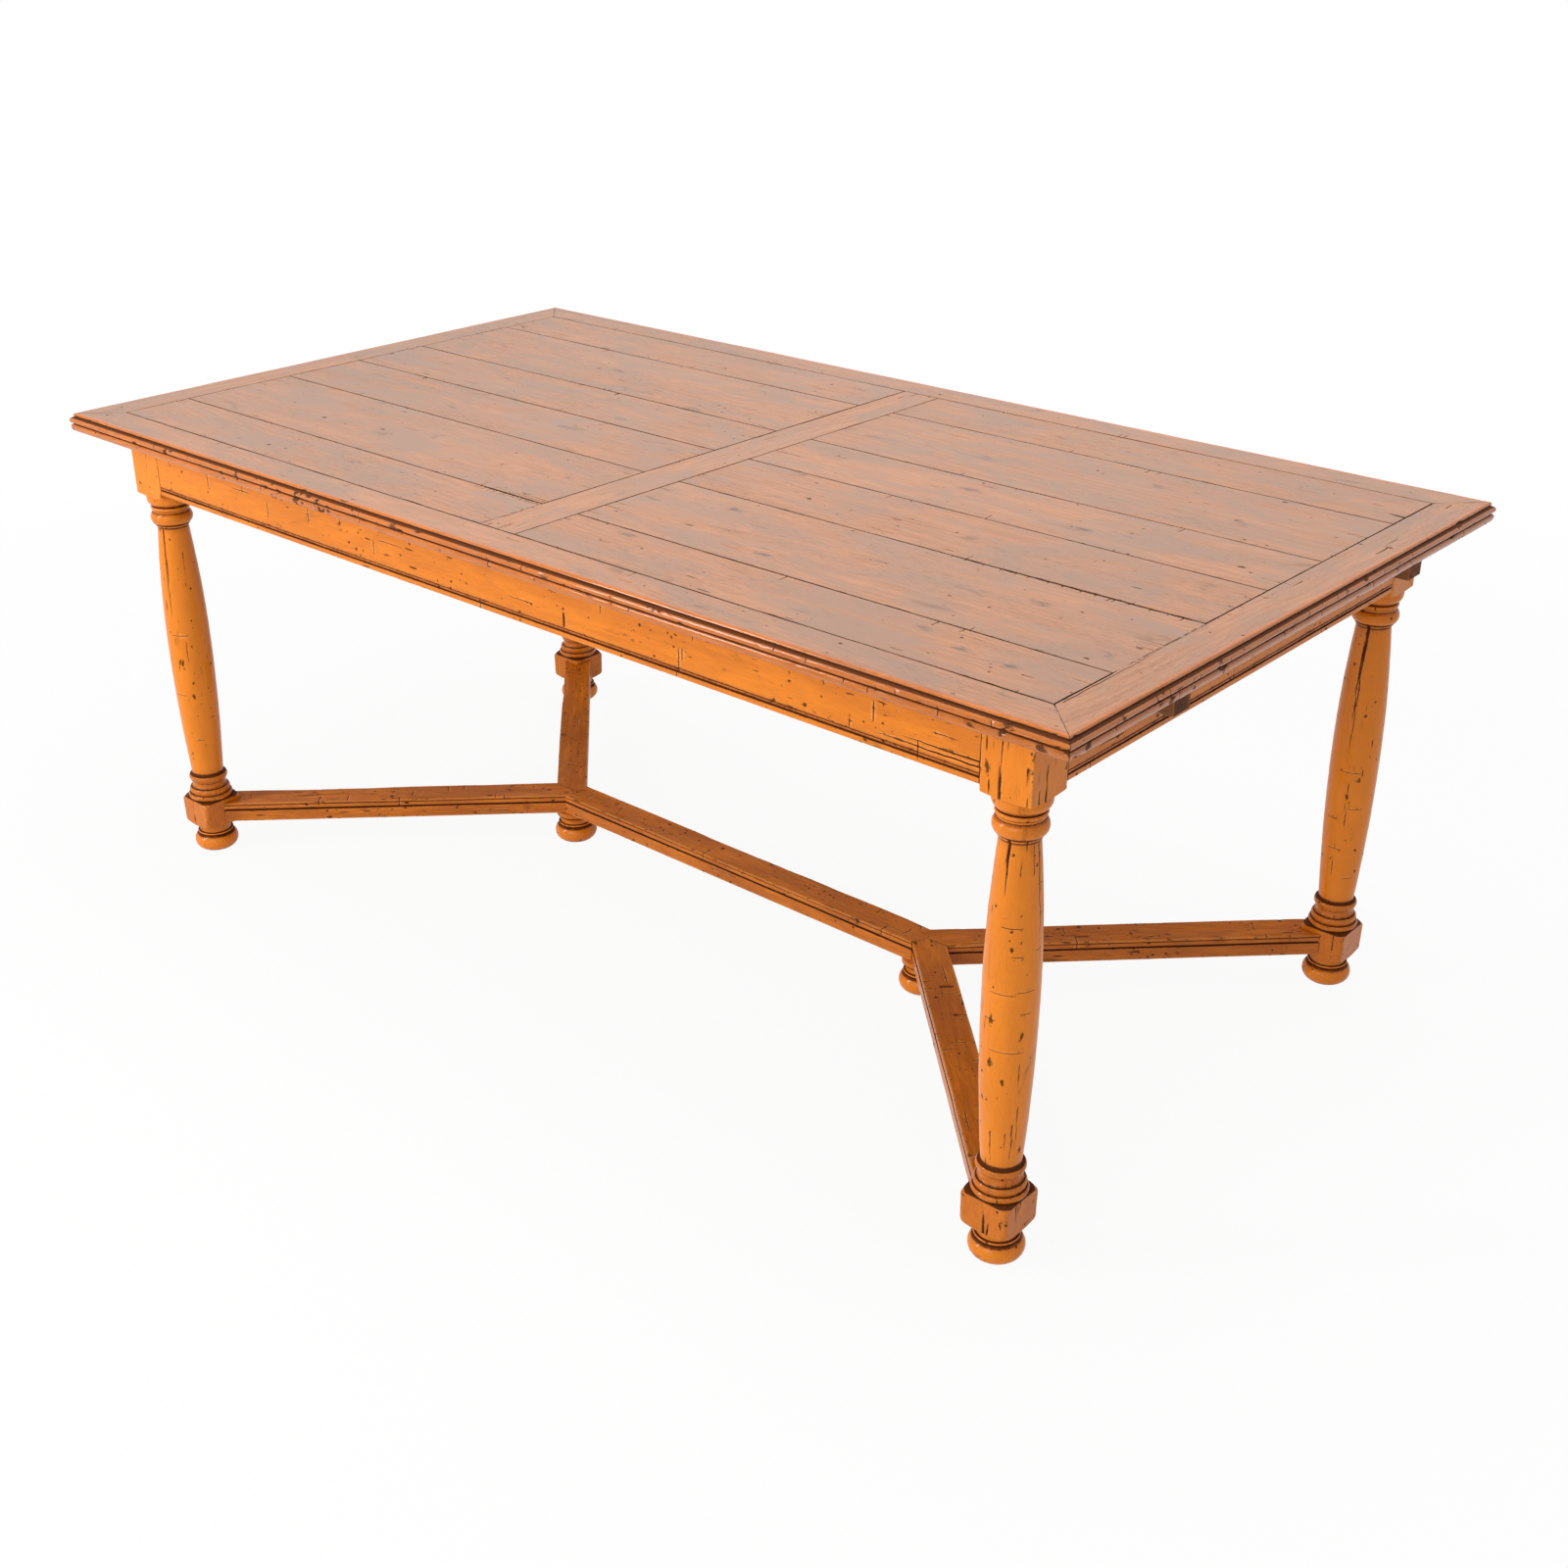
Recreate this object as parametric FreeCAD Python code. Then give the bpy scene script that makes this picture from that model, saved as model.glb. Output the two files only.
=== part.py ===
import FreeCAD, Part
import math
import os

# Harvest dining table: a framed plank top on moulded aprons and turned legs, tied by a double-Y
# stretcher, with four pull-out leaf supports under the ends of the top.
# Millimetres. X runs along the length, Y across the width and Z up. The origin is on the floor
# under the middle of the table, and the front is at -Y.

# Overall sizes
table_height = 780.0
top_length = 1936.0
top_width = 1070.0
top_thickness = 28.0

# Layout of the top: a mitred border round a field of planks, split by a board across the middle
border_width = 66.0
centre_board_width = 71.0
plank_width_shares = (0.124, 0.215, 0.161, 0.152, 0.218, 0.130)
seam_bevel = 0.8
tongue_length = 12.0
tongue_thickness = 8.0
tongue_clearance = 0.1
spline_thickness = 5.0
spline_span = 36.0
spline_depth = 14.0
spline_clearance = 0.1

# Edge moulding of the top: insets from the outermost face, drops from the upper surface
surface_inset = 9.0
nosing_inset = 5.2
nosing_drop = 4.2
quirk_inset = 6.6
quirk_drop = 5.2
bead_inset = 2.6
upper_bead_drop = 6.2
upper_bead_height = 7.6
bead_groove_height = 1.5
bead_groove_inset = 5.0
lower_bead_inset = 1.2
lower_bead_foot_inset = 3.4
bead_arc_share = 0.5
nosing_arc_share = 0.3

# Aprons
apron_height = 92.5
apron_thickness = 24.0
apron_setback = 1.0
apron_edge_radius = 3.0
lip_groove_height = 9.5
lip_groove_width = 2.6
lip_groove_depth = 1.6
fine_groove_height = 14.0
fine_groove_width = 1.4
fine_groove_depth = 0.9
tenon_length = 24.0
tenon_thickness = 10.0
tenon_shoulder = 12.0
tenon_clearance = 0.1

# Legs: distance of their centres from the outermost edges, and their square blocks
leg_end_inset = 116.0
leg_side_inset = 91.0
top_block_size = 72.0
block_reveal = 9.0
lower_block_size = 72.0
lower_block_base = 47.0
lower_block_height = 51.5
shoulder_drop = 2.5
lower_shoulder_drop = 7.0
shoulder_margin = 1.5

# Turned foot
foot_base_radius = 28.0
foot_bulge = 9.0
foot_height = 29.0
foot_groove_radius = 26.5
foot_ring_radius = 29.0
foot_ring_height = 3.0
foot_groove_height = 1.5
neck_radius = 27.0
neck_top_radius = 30.0

# Lower turning, from the block up
base_groove_radius = 34.5
base_groove_height = 3.0
base_torus_radius = 34.0
base_torus_height = 14.0
base_torus_bulge = 2.5
base_ring_radius = 33.5
base_ring_height = 3.5
base_cove_radius = 30.0
base_cove_height = 13.0
base_cove_hollow = 2.5
ankle_torus_radius = 28.6
ankle_torus_height = 18.0
ankle_torus_bulge = 3.4

# Column
column_foot_radius = 26.2
column_belly_radius = 35.4
column_head_radius = 24.6
belly_height_share = 0.525
entasis_share = 0.25

# Upper turning, from the block down
collar_radius = 36.0
collar_band = 5.0
collar_height = 17.5
collar_foot_radius = 30.0
collar_bulge = 1.8
neck_ring_radius = 29.6
neck_ring_height = 6.0
neck_ring_bulge = 1.8
neck_groove_radius = 28.6
neck_groove_height = 2.0
head_cove_radius = 29.0
head_cove_height = 4.0
head_torus_radius = 29.4
head_torus_height = 20.0
head_torus_bulge = 4.4
head_fillet_radius = 27.0
head_fillet_height = 4.0

# Stretcher: a beam along the middle, forked at both ends to the legs
junction_reach = 400.0
junction_foot_setback = 8.0
stretcher_width = 52.0
stretcher_height = 34.5
stretcher_top = 90.0
arris_bevel = 0.8
quirk_top_drop = 3.0
quirk_width = 1.4
quirk_depth = 1.5
side_bead_drop = 4.4
side_bead_height = 7.0
side_groove_width = 2.6
side_groove_depth = 2.2
side_bead_shoulder = 0.8
junction_flare_radius = 33.0
junction_flare_height = 8.0
junction_pin_radius = 11.0
junction_pin_length = 24.0
junction_pin_clearance = 0.05
dowel_radius = 6.0
dowel_length = 60.0
dowel_clearance = 0.05

# Leaf supports: bars that slide out of the ends under the top, at a share of the way to the legs
loper_place_share = 0.671
loper_width = 36.0
loper_height = 21.4
loper_length = 600.0
loper_end_inset = 6.0
loper_travel = 380.0
loper_clearance = 0.3
loper_edge_bevel = 1.0
pin_radius = 4.0
pin_end_distance = 20.0
pin_projection = 9.0
pin_play = 1.0
guide_cheek = 12.0
guide_floor = 10.0
guide_length = 380.0
stop_length = 30.0

# Hidden woodwork under the top
bearer_width = 60.0
bearer_depth = 50.0
bearer_housing = 6.0
cleat_size = 20.0
end_cleat_width = 60.0
end_cleat_thickness = 22.0
end_cleat_place_share = 0.763
end_cleat_gap = 6.0
brace_thickness = 22.0
brace_height = 46.0
brace_lift = 6.0
brace_corner_gap = 8.5

# Fasteners
bolt_radius = 4.0
bolt_in_leg = 34.0
bolt_tail = 12.0
bolt_clearance = 0.1
nut_across = 13.0
nut_height = 6.5
washer_radius = 9.0
washer_thickness = 1.6
screw_radius = 2.0
screw_head_radius = 4.0
screw_head_height = 2.4
screw_bite = 14.0
screw_clearance = 0.05
cleat_screw_shares = (-0.9, -0.45, 0.45, 0.9)
bearer_screw_shares = (-0.75, -0.25, 0.25, 0.75)
end_cleat_screw_shares = (-0.75, 0.75)
guide_screw_shares = (0.1, 0.9)

# Places worked out from the sizes above
up = FreeCAD.Vector(0, 0, 1)
half_length = top_length / 2
half_width = top_width / 2
underside = table_height - top_thickness
field_half_length = half_length - border_width
field_half_width = half_width - border_width
leg_x = half_length - leg_end_inset
leg_y = half_width - leg_side_inset
end_apron_face = leg_x + top_block_size / 2 - apron_setback
long_apron_face = leg_y + top_block_size / 2 - apron_setback
foot_reach = junction_reach - junction_foot_setback
loper_centre_y = loper_place_share * leg_y
end_cleat_x = end_cleat_place_share * leg_x
apron_base = underside - apron_height
block_base = apron_base - block_reveal
lower_block_top = lower_block_base + lower_block_height
fork_angle = math.atan2(leg_y, leg_x - junction_reach)
loper_tip = half_length - loper_end_inset
loper_tail = loper_tip - loper_length
loper_top = underside - loper_clearance
loper_base = loper_top - loper_height
guide_outer = end_apron_face - apron_thickness
guide_inner = guide_outer - guide_length
guide_half_gap = loper_width / 2 + loper_clearance
guide_half_width = guide_half_gap + guide_cheek
guide_floor_top = loper_base - loper_clearance
guide_base = guide_floor_top - guide_floor
slot_end = loper_tail + pin_end_distance + loper_travel + pin_radius + loper_clearance

sides = {"left": -1, "right": 1}
depths = {"front": -1, "back": 1}


def box(low, high):
    """A box between two opposite corners given as (x, y, z)."""
    size = [b - a for a, b in zip(low, high)]
    return Part.makeBox(size[0], size[1], size[2], FreeCAD.Vector(*low))


def outline(points, place):
    """A closed wire. A point (a, b) is reached by a line, and (a, b, am, bm) by an arc through (am, bm)."""
    edges = []
    last = place(points[-1][0], points[-1][1])
    for point in points:
        here = place(point[0], point[1])
        if len(point) > 2:
            edges.append(Part.Arc(last, place(point[2], point[3]), here).toShape())
        else:
            edges.append(Part.LineSegment(last, here).toShape())
        last = here
    return Part.Wire(edges)


def prism(corners, base, height):
    """An upright prism over a plan given as (x, y) corners."""
    wire = outline(corners, lambda x, y: FreeCAD.Vector(x, y, base))
    return Part.Face(wire).extrude(FreeCAD.Vector(0, 0, height))


def lathe(stations):
    """A solid turned about Z. A station is (radius, height) or (radius, height, bulge of its arc)."""
    points = [(0, stations[0][1])]
    last = points[0]
    for station in stations:
        radius, height = station[0], station[1]
        if len(station) > 2:
            middle_radius = (last[0] + radius) / 2 + station[2]
            points.append((radius, height, middle_radius, (last[1] + height) / 2))
        else:
            points.append((radius, height))
        last = station
    points.append((0, stations[-1][1]))
    wire = outline(points, lambda a, b: FreeCAD.Vector(a, 0, b))
    return Part.Face(wire).revolve(FreeCAD.Vector(0, 0, 0), up, 360)


def mirrored(shape, side_x, side_y):
    """The shape built for +X and +Y, carried to another quarter of the table."""
    origin = FreeCAD.Vector(0, 0, 0)
    if side_x < 0:
        shape = shape.mirror(origin, FreeCAD.Vector(1, 0, 0))
    if side_y < 0:
        shape = shape.mirror(origin, FreeCAD.Vector(0, 1, 0))
    return shape


def bevel_top(shape, height, bevel):
    """Bevels the edges that lie in the upper face of a board."""
    flat = [e for e in shape.Edges if all(abs(v.Z - height) < bevel / 2 for v in e.Vertexes)]
    return shape.makeChamfer(bevel, flat)


def border_outline(reach):
    """Section of a border whose outermost face is at reach from the middle, as (distance, height)."""
    top = table_height
    bead_top = top - upper_bead_drop
    bead_low = bead_top - upper_bead_height
    lower_top = bead_low - bead_groove_height
    nosing_mid_inset = nosing_inset + nosing_arc_share * (surface_inset - nosing_inset)
    nosing_mid = top - nosing_arc_share * nosing_drop
    bead_mid = bead_top - bead_arc_share * upper_bead_height
    lower_mid = lower_top - bead_arc_share * (lower_top - underside)
    inner = reach - border_width
    return [
        (inner, underside),
        (inner, top - seam_bevel),
        (inner + seam_bevel, top),
        (reach - surface_inset, top),
        (reach - nosing_inset, top - nosing_drop, reach - nosing_mid_inset, nosing_mid),
        (reach - quirk_inset, top - quirk_drop),
        (reach - bead_inset, bead_top),
        (reach - bead_inset, bead_low, reach, bead_mid),
        (reach - bead_groove_inset, (bead_low + lower_top) / 2),
        (reach - bead_inset, lower_top),
        (reach - lower_bead_foot_inset, underside, reach - lower_bead_inset, lower_mid),
    ]


def groove_box(along_y, reach, side):
    """The groove that takes the plank tongues, cut into a board whose edge is at reach on one side."""
    middle = underside + top_thickness / 2
    half = tongue_thickness / 2 + tongue_clearance
    depth = tongue_length + tongue_clearance
    low_x = min(reach, reach + side * depth)
    return box((low_x, -along_y, middle - half), (low_x + depth, along_y, middle + half))


def mitre_spline(grow):
    """The loose spline in the mitre of the +X +Y corner, grown all round by a clearance."""
    middle = underside + top_thickness / 2
    diagonal = math.hypot(border_width, border_width)
    centre = diagonal / 2
    block = box(
        (centre - spline_span / 2 - grow, -spline_depth - grow, middle - spline_thickness / 2 - grow),
        (centre + spline_span / 2 + grow, spline_depth + grow, middle + spline_thickness / 2 + grow),
    )
    block.rotate(FreeCAD.Vector(0, 0, 0), up, math.degrees(math.atan2(border_width, border_width)))
    block.translate(FreeCAD.Vector(field_half_length, field_half_width, 0))
    return block


def make_borders(parts):
    """Four mitred border boards with the stepped edge moulding, and the splines in their mitres."""
    fx, fy, hx, hy = field_half_length, field_half_width, half_length, half_width
    for name, side in depths.items():
        place = lambda a, b, s=side: FreeCAD.Vector(-half_length, s * a, b)
        bar = Part.Face(outline(border_outline(half_width), place)).extrude(FreeCAD.Vector(top_length, 0, 0))
        plan = [(-fx, side * fy), (fx, side * fy), (hx, side * hy), (-hx, side * hy)]
        parts["long_border_" + name] = bar.common(prism(plan, underside, top_thickness))
    for name, side in sides.items():
        place = lambda a, b, s=side: FreeCAD.Vector(s * a, -half_width, b)
        bar = Part.Face(outline(border_outline(half_length), place)).extrude(FreeCAD.Vector(0, top_width, 0))
        plan = [(side * fx, -fy), (side * hx, -hy), (side * hx, hy), (side * fx, fy)]
        board = bar.common(prism(plan, underside, top_thickness))
        parts["end_border_" + name] = board.cut(groove_box(fy, side * fx, side))
    splines = []
    for x_name, side_x in sides.items():
        for y_name, side_y in depths.items():
            splines.append(mirrored(mitre_spline(0), side_x, side_y))
            slot = mirrored(mitre_spline(spline_clearance), side_x, side_y)
            for node in ("long_border_" + y_name, "end_border_" + x_name):
                parts[node] = parts[node].cut(slot)
    parts["mitre_splines"] = Part.makeCompound(splines)


def make_centre_board(parts):
    """The board across the middle of the top, grooved on both edges for the plank tongues."""
    half = centre_board_width / 2
    board = box((-half, -field_half_width, underside), (half, field_half_width, table_height))
    board = bevel_top(board, table_height, seam_bevel)
    for side in sides.values():
        board = board.cut(groove_box(field_half_width, side * half, -side))
    parts["centre_board"] = board


def make_planks(parts):
    """Six planks in each half, tongued at both ends, narrow and wide as in an old board top."""
    start = centre_board_width / 2
    middle = underside + top_thickness / 2
    half_tongue = tongue_thickness / 2
    for name, side in sides.items():
        low_y = -field_half_width
        for index, share in enumerate(plank_width_shares):
            high_y = low_y + 2 * field_half_width * share
            plank = box((start, low_y, underside), (field_half_length, high_y, table_height))
            plank = bevel_top(plank, table_height, seam_bevel)
            tongue = box(
                (start - tongue_length, low_y, middle - half_tongue),
                (field_half_length + tongue_length, high_y, middle + half_tongue),
            )
            plank = plank.fuse(tongue).removeSplitter()
            parts["plank_%s_%d" % (name, index + 1)] = mirrored(plank, side, 1)
            low_y = high_y


def apron_outline(face):
    """Section of an apron whose outer face is at face from the middle, grooved along its lower edge."""
    lip = apron_base + lip_groove_height
    fine = apron_base + fine_groove_height
    half_lip = lip_groove_width / 2
    half_fine = fine_groove_width / 2
    edge = apron_edge_radius
    turn = edge * (1 - math.sqrt(0.5))
    return [
        (face - apron_thickness, apron_base),
        (face - apron_thickness, underside),
        (face, underside),
        (face, fine + half_fine),
        (face - fine_groove_depth, fine),
        (face, fine - half_fine),
        (face, lip + half_lip),
        (face - lip_groove_depth, lip + half_lip / 2),
        (face - lip_groove_depth, lip - half_lip / 2),
        (face, lip - half_lip),
        (face, apron_base + edge),
        (face - edge, apron_base, face - turn, apron_base + turn),
    ]


def long_tenon(side_x, side_y, grow):
    """The tenon of a long apron in one leg, grown by a clearance for its mortise."""
    shoulder = leg_x - top_block_size / 2
    middle = long_apron_face - apron_thickness / 2
    half = tenon_thickness / 2 + grow
    low = apron_base + tenon_shoulder - grow
    high = underside - tenon_shoulder + grow
    block = box((shoulder, middle - half, low), (shoulder + tenon_length + grow, middle + half, high))
    return mirrored(block, side_x, side_y)


def end_tenon(side_x, side_y, grow):
    """The tenon of an end apron in one leg, grown by a clearance for its mortise."""
    shoulder = leg_y - top_block_size / 2
    middle = end_apron_face - apron_thickness / 2
    half = tenon_thickness / 2 + grow
    low = apron_base + tenon_shoulder - grow
    high = underside - tenon_shoulder + grow
    block = box((middle - half, shoulder, low), (middle + half, shoulder + tenon_length + grow, high))
    return mirrored(block, side_x, side_y)


def make_aprons(parts):
    """Two long aprons housed for the bearer, and two end aprons notched for the leaf supports."""
    reach_x = leg_x - top_block_size / 2
    reach_y = leg_y - top_block_size / 2
    for name, side in depths.items():
        place = lambda a, b, s=side: FreeCAD.Vector(-reach_x, s * a, b)
        section = Part.Face(outline(apron_outline(long_apron_face), place))
        board = section.extrude(FreeCAD.Vector(2 * reach_x, 0, 0))
        board = board.fuse([long_tenon(side_x, side, 0) for side_x in sides.values()]).removeSplitter()
        parts["apron_" + name] = board.cut(bearer_block())
    for name, side in sides.items():
        place = lambda a, b, s=side: FreeCAD.Vector(s * a, -reach_y, b)
        section = Part.Face(outline(apron_outline(end_apron_face), place))
        board = section.extrude(FreeCAD.Vector(0, 2 * reach_y, 0))
        board = board.fuse([end_tenon(side, side_y, 0) for side_y in depths.values()]).removeSplitter()
        for side_y in depths.values():
            notch = box(
                (guide_outer, loper_centre_y - guide_half_gap, guide_floor_top),
                (end_apron_face, loper_centre_y + guide_half_gap, underside),
            )
            board = board.cut(mirrored(notch, side, side_y))
        parts["apron_" + name] = board


def foot_stations(top_radius, top_height):
    """The bun foot, its groove and ring, and the neck up to the given radius and height."""
    groove_top = foot_height + foot_groove_height
    ring_top = groove_top + foot_ring_height
    return [
        (foot_base_radius, 0),
        (foot_base_radius, foot_height, foot_bulge),
        (foot_groove_radius, foot_height),
        (foot_groove_radius, groove_top),
        (foot_ring_radius, groove_top),
        (foot_ring_radius, ring_top, foot_ring_height / 2),
        (neck_radius, ring_top),
        (top_radius, top_height, -foot_groove_height),
    ]


def leg_stations():
    """The turned outline of a leg from the floor to its top block."""
    stations = foot_stations(neck_top_radius, lower_block_base)
    z = lower_block_top
    stations += [(neck_top_radius, z)]
    stations += [(base_groove_radius, z)]
    z += base_groove_height
    stations += [(base_groove_radius, z), (base_torus_radius, z)]
    z += base_torus_height
    stations += [(base_torus_radius, z, base_torus_bulge), (base_ring_radius, z)]
    z += base_ring_height
    stations += [(base_ring_radius, z), (base_cove_radius, z)]
    z += base_cove_height
    stations += [(ankle_torus_radius, z, -base_cove_hollow)]
    z += ankle_torus_height
    stations += [(ankle_torus_radius, z, ankle_torus_bulge), (column_foot_radius, z)]
    column_base = z
    column_top = block_base - collar_height - neck_groove_height - neck_ring_height
    column_top -= head_cove_height + head_torus_height + head_fillet_height
    belly = column_base + belly_height_share * (column_top - column_base)
    foot_swell = entasis_share * (column_belly_radius - column_foot_radius)
    head_swell = entasis_share * (column_belly_radius - column_head_radius)
    stations += [(column_belly_radius, belly, foot_swell), (column_head_radius, column_top, head_swell)]
    z = column_top
    stations += [(head_fillet_radius, z)]
    z += head_fillet_height
    stations += [(head_fillet_radius, z), (head_torus_radius, z)]
    z += head_torus_height
    stations += [(head_torus_radius, z, head_torus_bulge), (head_cove_radius, z)]
    z += head_cove_height
    stations += [(neck_ring_radius, z)]
    z += neck_ring_height
    stations += [(neck_ring_radius, z, neck_ring_bulge), (neck_groove_radius, z)]
    z += neck_groove_height
    stations += [(neck_groove_radius, z), (collar_foot_radius, z)]
    z += collar_height - collar_band
    stations += [(collar_radius, z, collar_bulge), (collar_radius, block_base)]
    return stations


def turned_block(size, base, height, low_radius, low_drop, high_radius, high_drop):
    """A square block whose shoulders are turned down to a radius below and above."""
    half = size / 2
    corner = math.hypot(half, half) + shoulder_margin
    square = box((-half, -half, base), (half, half, base + height))
    envelope = lathe([
        (low_radius, base),
        (corner, base + low_drop),
        (corner, base + height - high_drop),
        (high_radius, base + height),
    ])
    return square.common(envelope)


def dowel_axis():
    """The inner corner of the +X +Y lower block and the fork's direction, at mid height."""
    corner = FreeCAD.Vector(leg_x - lower_block_size / 2, leg_y - lower_block_size / 2, 0)
    corner.z = stretcher_top - stretcher_height / 2
    return corner, FreeCAD.Vector(math.cos(fork_angle), math.sin(fork_angle), 0)


def fork_dowel(grow):
    """The dowel that ties a fork to its leg, half in each, grown by a clearance for its hole."""
    corner, direction = dowel_axis()
    start = corner - direction * (dowel_length / 2 + grow)
    return Part.makeCylinder(dowel_radius + grow, dowel_length + 2 * grow, start, direction)


def brace_line():
    """Where the outer face of the +X +Y corner brace meets the aprons, as x + y."""
    inner_corner = leg_x + leg_y - top_block_size
    return inner_corner - brace_corner_gap * math.sqrt(2)


def brace_bolt(grow):
    """The hanger bolt from the brace into the inner corner of the leg, grown by a clearance."""
    inward = FreeCAD.Vector(-1, -1, 0).normalize()
    corner = FreeCAD.Vector(leg_x - top_block_size / 2, leg_y - top_block_size / 2, 0)
    corner.z = apron_base + brace_lift + brace_height / 2
    tip = corner - inward * (bolt_in_leg + grow)
    length = bolt_in_leg + brace_corner_gap + brace_thickness + bolt_tail + 2 * grow
    return Part.makeCylinder(bolt_radius + grow, length, tip, inward)


def make_legs(parts):
    """Four turned legs, each one piece from its bun foot to its square top block."""
    turned = lathe(leg_stations())
    height = underside - block_base
    top_block = turned_block(
        top_block_size, block_base, height, collar_radius, shoulder_drop, top_block_size, 0
    )
    low_block = turned_block(
        lower_block_size, lower_block_base, lower_block_height,
        neck_top_radius, lower_shoulder_drop, base_torus_radius + base_torus_bulge, shoulder_drop,
    )
    leg = turned.fuse([top_block, low_block]).removeSplitter()
    leg.translate(FreeCAD.Vector(leg_x, leg_y, 0))
    for cutter in (
        long_tenon(1, 1, tenon_clearance),
        end_tenon(1, 1, tenon_clearance),
        fork_dowel(dowel_clearance),
        brace_bolt(bolt_clearance),
    ):
        leg = leg.cut(cutter)
    for x_name, side_x in sides.items():
        for y_name, side_y in depths.items():
            parts["leg_%s_%s" % (x_name, y_name)] = mirrored(leg, side_x, side_y)


def stretcher_bar(length):
    """A straight stretcher bar along +X from the origin, moulded along both sides."""
    half = stretcher_width / 2
    top = stretcher_top
    bead_top = top - side_bead_drop
    bead_low = bead_top - side_bead_height
    groove_low = bead_low - side_groove_width
    groove_face = half - side_groove_depth
    bead_face = half - side_bead_shoulder
    side = [
        (half - arris_bevel, top),
        (half, top - arris_bevel),
        (half, top - quirk_top_drop),
        (half - quirk_depth, top - quirk_top_drop - quirk_width / 2),
        (bead_face, bead_top),
        (bead_face, bead_low, half, (bead_top + bead_low) / 2),
        (groove_face, bead_low),
        (groove_face, groove_low),
        (half, groove_low),
        (half, top - stretcher_height + arris_bevel),
        (half - arris_bevel, top - stretcher_height),
    ]
    # The far side runs upwards, so there the bead's arc is reached from its lower end.
    other = []
    for point in reversed(side):
        if point[:2] == (bead_face, bead_top):
            other.append((-bead_face, bead_top, -half, (bead_top + bead_low) / 2))
        else:
            other.append((-point[0], point[1]))
    wire = outline(side + other, lambda a, b: FreeCAD.Vector(0, a, b))
    return Part.Face(wire).extrude(FreeCAD.Vector(length, 0, 0))


def junction_corners():
    """Plan corners of the +X junction: beside the beam, and in the crotch of the forks."""
    half = stretcher_width / 2
    beside = junction_reach - half * math.tan(fork_angle / 2)
    crotch = junction_reach + half / math.sin(fork_angle)
    return beside, crotch


def make_stretcher(parts):
    """The beam, four forks cut round the legs' lower blocks, the two feet under the joints, and dowels."""
    half = stretcher_width / 2
    base = stretcher_top - stretcher_height
    beside, crotch = junction_corners()
    pin_radius_out = junction_pin_radius + junction_pin_clearance
    pin_top = base + junction_pin_length + junction_pin_clearance
    bores = []
    for side in sides.values():
        place = FreeCAD.Vector(side * foot_reach, 0, 0)
        bores.append(Part.makeCylinder(pin_radius_out, pin_top, place, up))
    beam = stretcher_bar(2 * junction_reach)
    beam.translate(FreeCAD.Vector(-junction_reach, 0, 0))
    plan = [
        (-junction_reach, 0), (-beside, -half), (beside, -half),
        (junction_reach, 0), (beside, half), (-beside, half),
    ]
    parts["stretcher_beam"] = beam.common(prism(plan, base, stretcher_height)).cut(bores)
    reach = math.hypot(leg_x - junction_reach, leg_y)
    fork = stretcher_bar(reach + stretcher_width)
    fork.translate(FreeCAD.Vector(-stretcher_width, 0, 0))
    fork.rotate(FreeCAD.Vector(0, 0, 0), up, math.degrees(fork_angle))
    fork.translate(FreeCAD.Vector(junction_reach, 0, 0))
    block = box(
        (leg_x - lower_block_size / 2, leg_y - lower_block_size / 2, 0),
        (half_length, half_width, table_height),
    )
    plan = [
        (junction_reach, 0), (crotch, 0), (half_length, 0),
        (half_length, half_width), (beside, half_width), (beside, half),
    ]
    fork = fork.common(prism(plan, base, stretcher_height))
    fork = fork.cut(block).cut(bores).cut(fork_dowel(dowel_clearance))
    fork = max(fork.Solids, key=lambda solid: solid.Volume)
    foot = lathe(foot_stations(junction_flare_radius, base - junction_flare_height) + [
        (junction_flare_radius, base),
        (junction_pin_radius, base),
        (junction_pin_radius, base + junction_pin_length),
    ])
    foot.translate(FreeCAD.Vector(foot_reach, 0, 0))
    dowels = []
    for x_name, side_x in sides.items():
        parts["junction_foot_" + x_name] = mirrored(foot, side_x, 1)
        for y_name, side_y in depths.items():
            parts["fork_%s_%s" % (x_name, y_name)] = mirrored(fork, side_x, side_y)
            dowels.append(mirrored(fork_dowel(0), side_x, side_y))
    parts["stretcher_dowels"] = Part.makeCompound(dowels)


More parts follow.
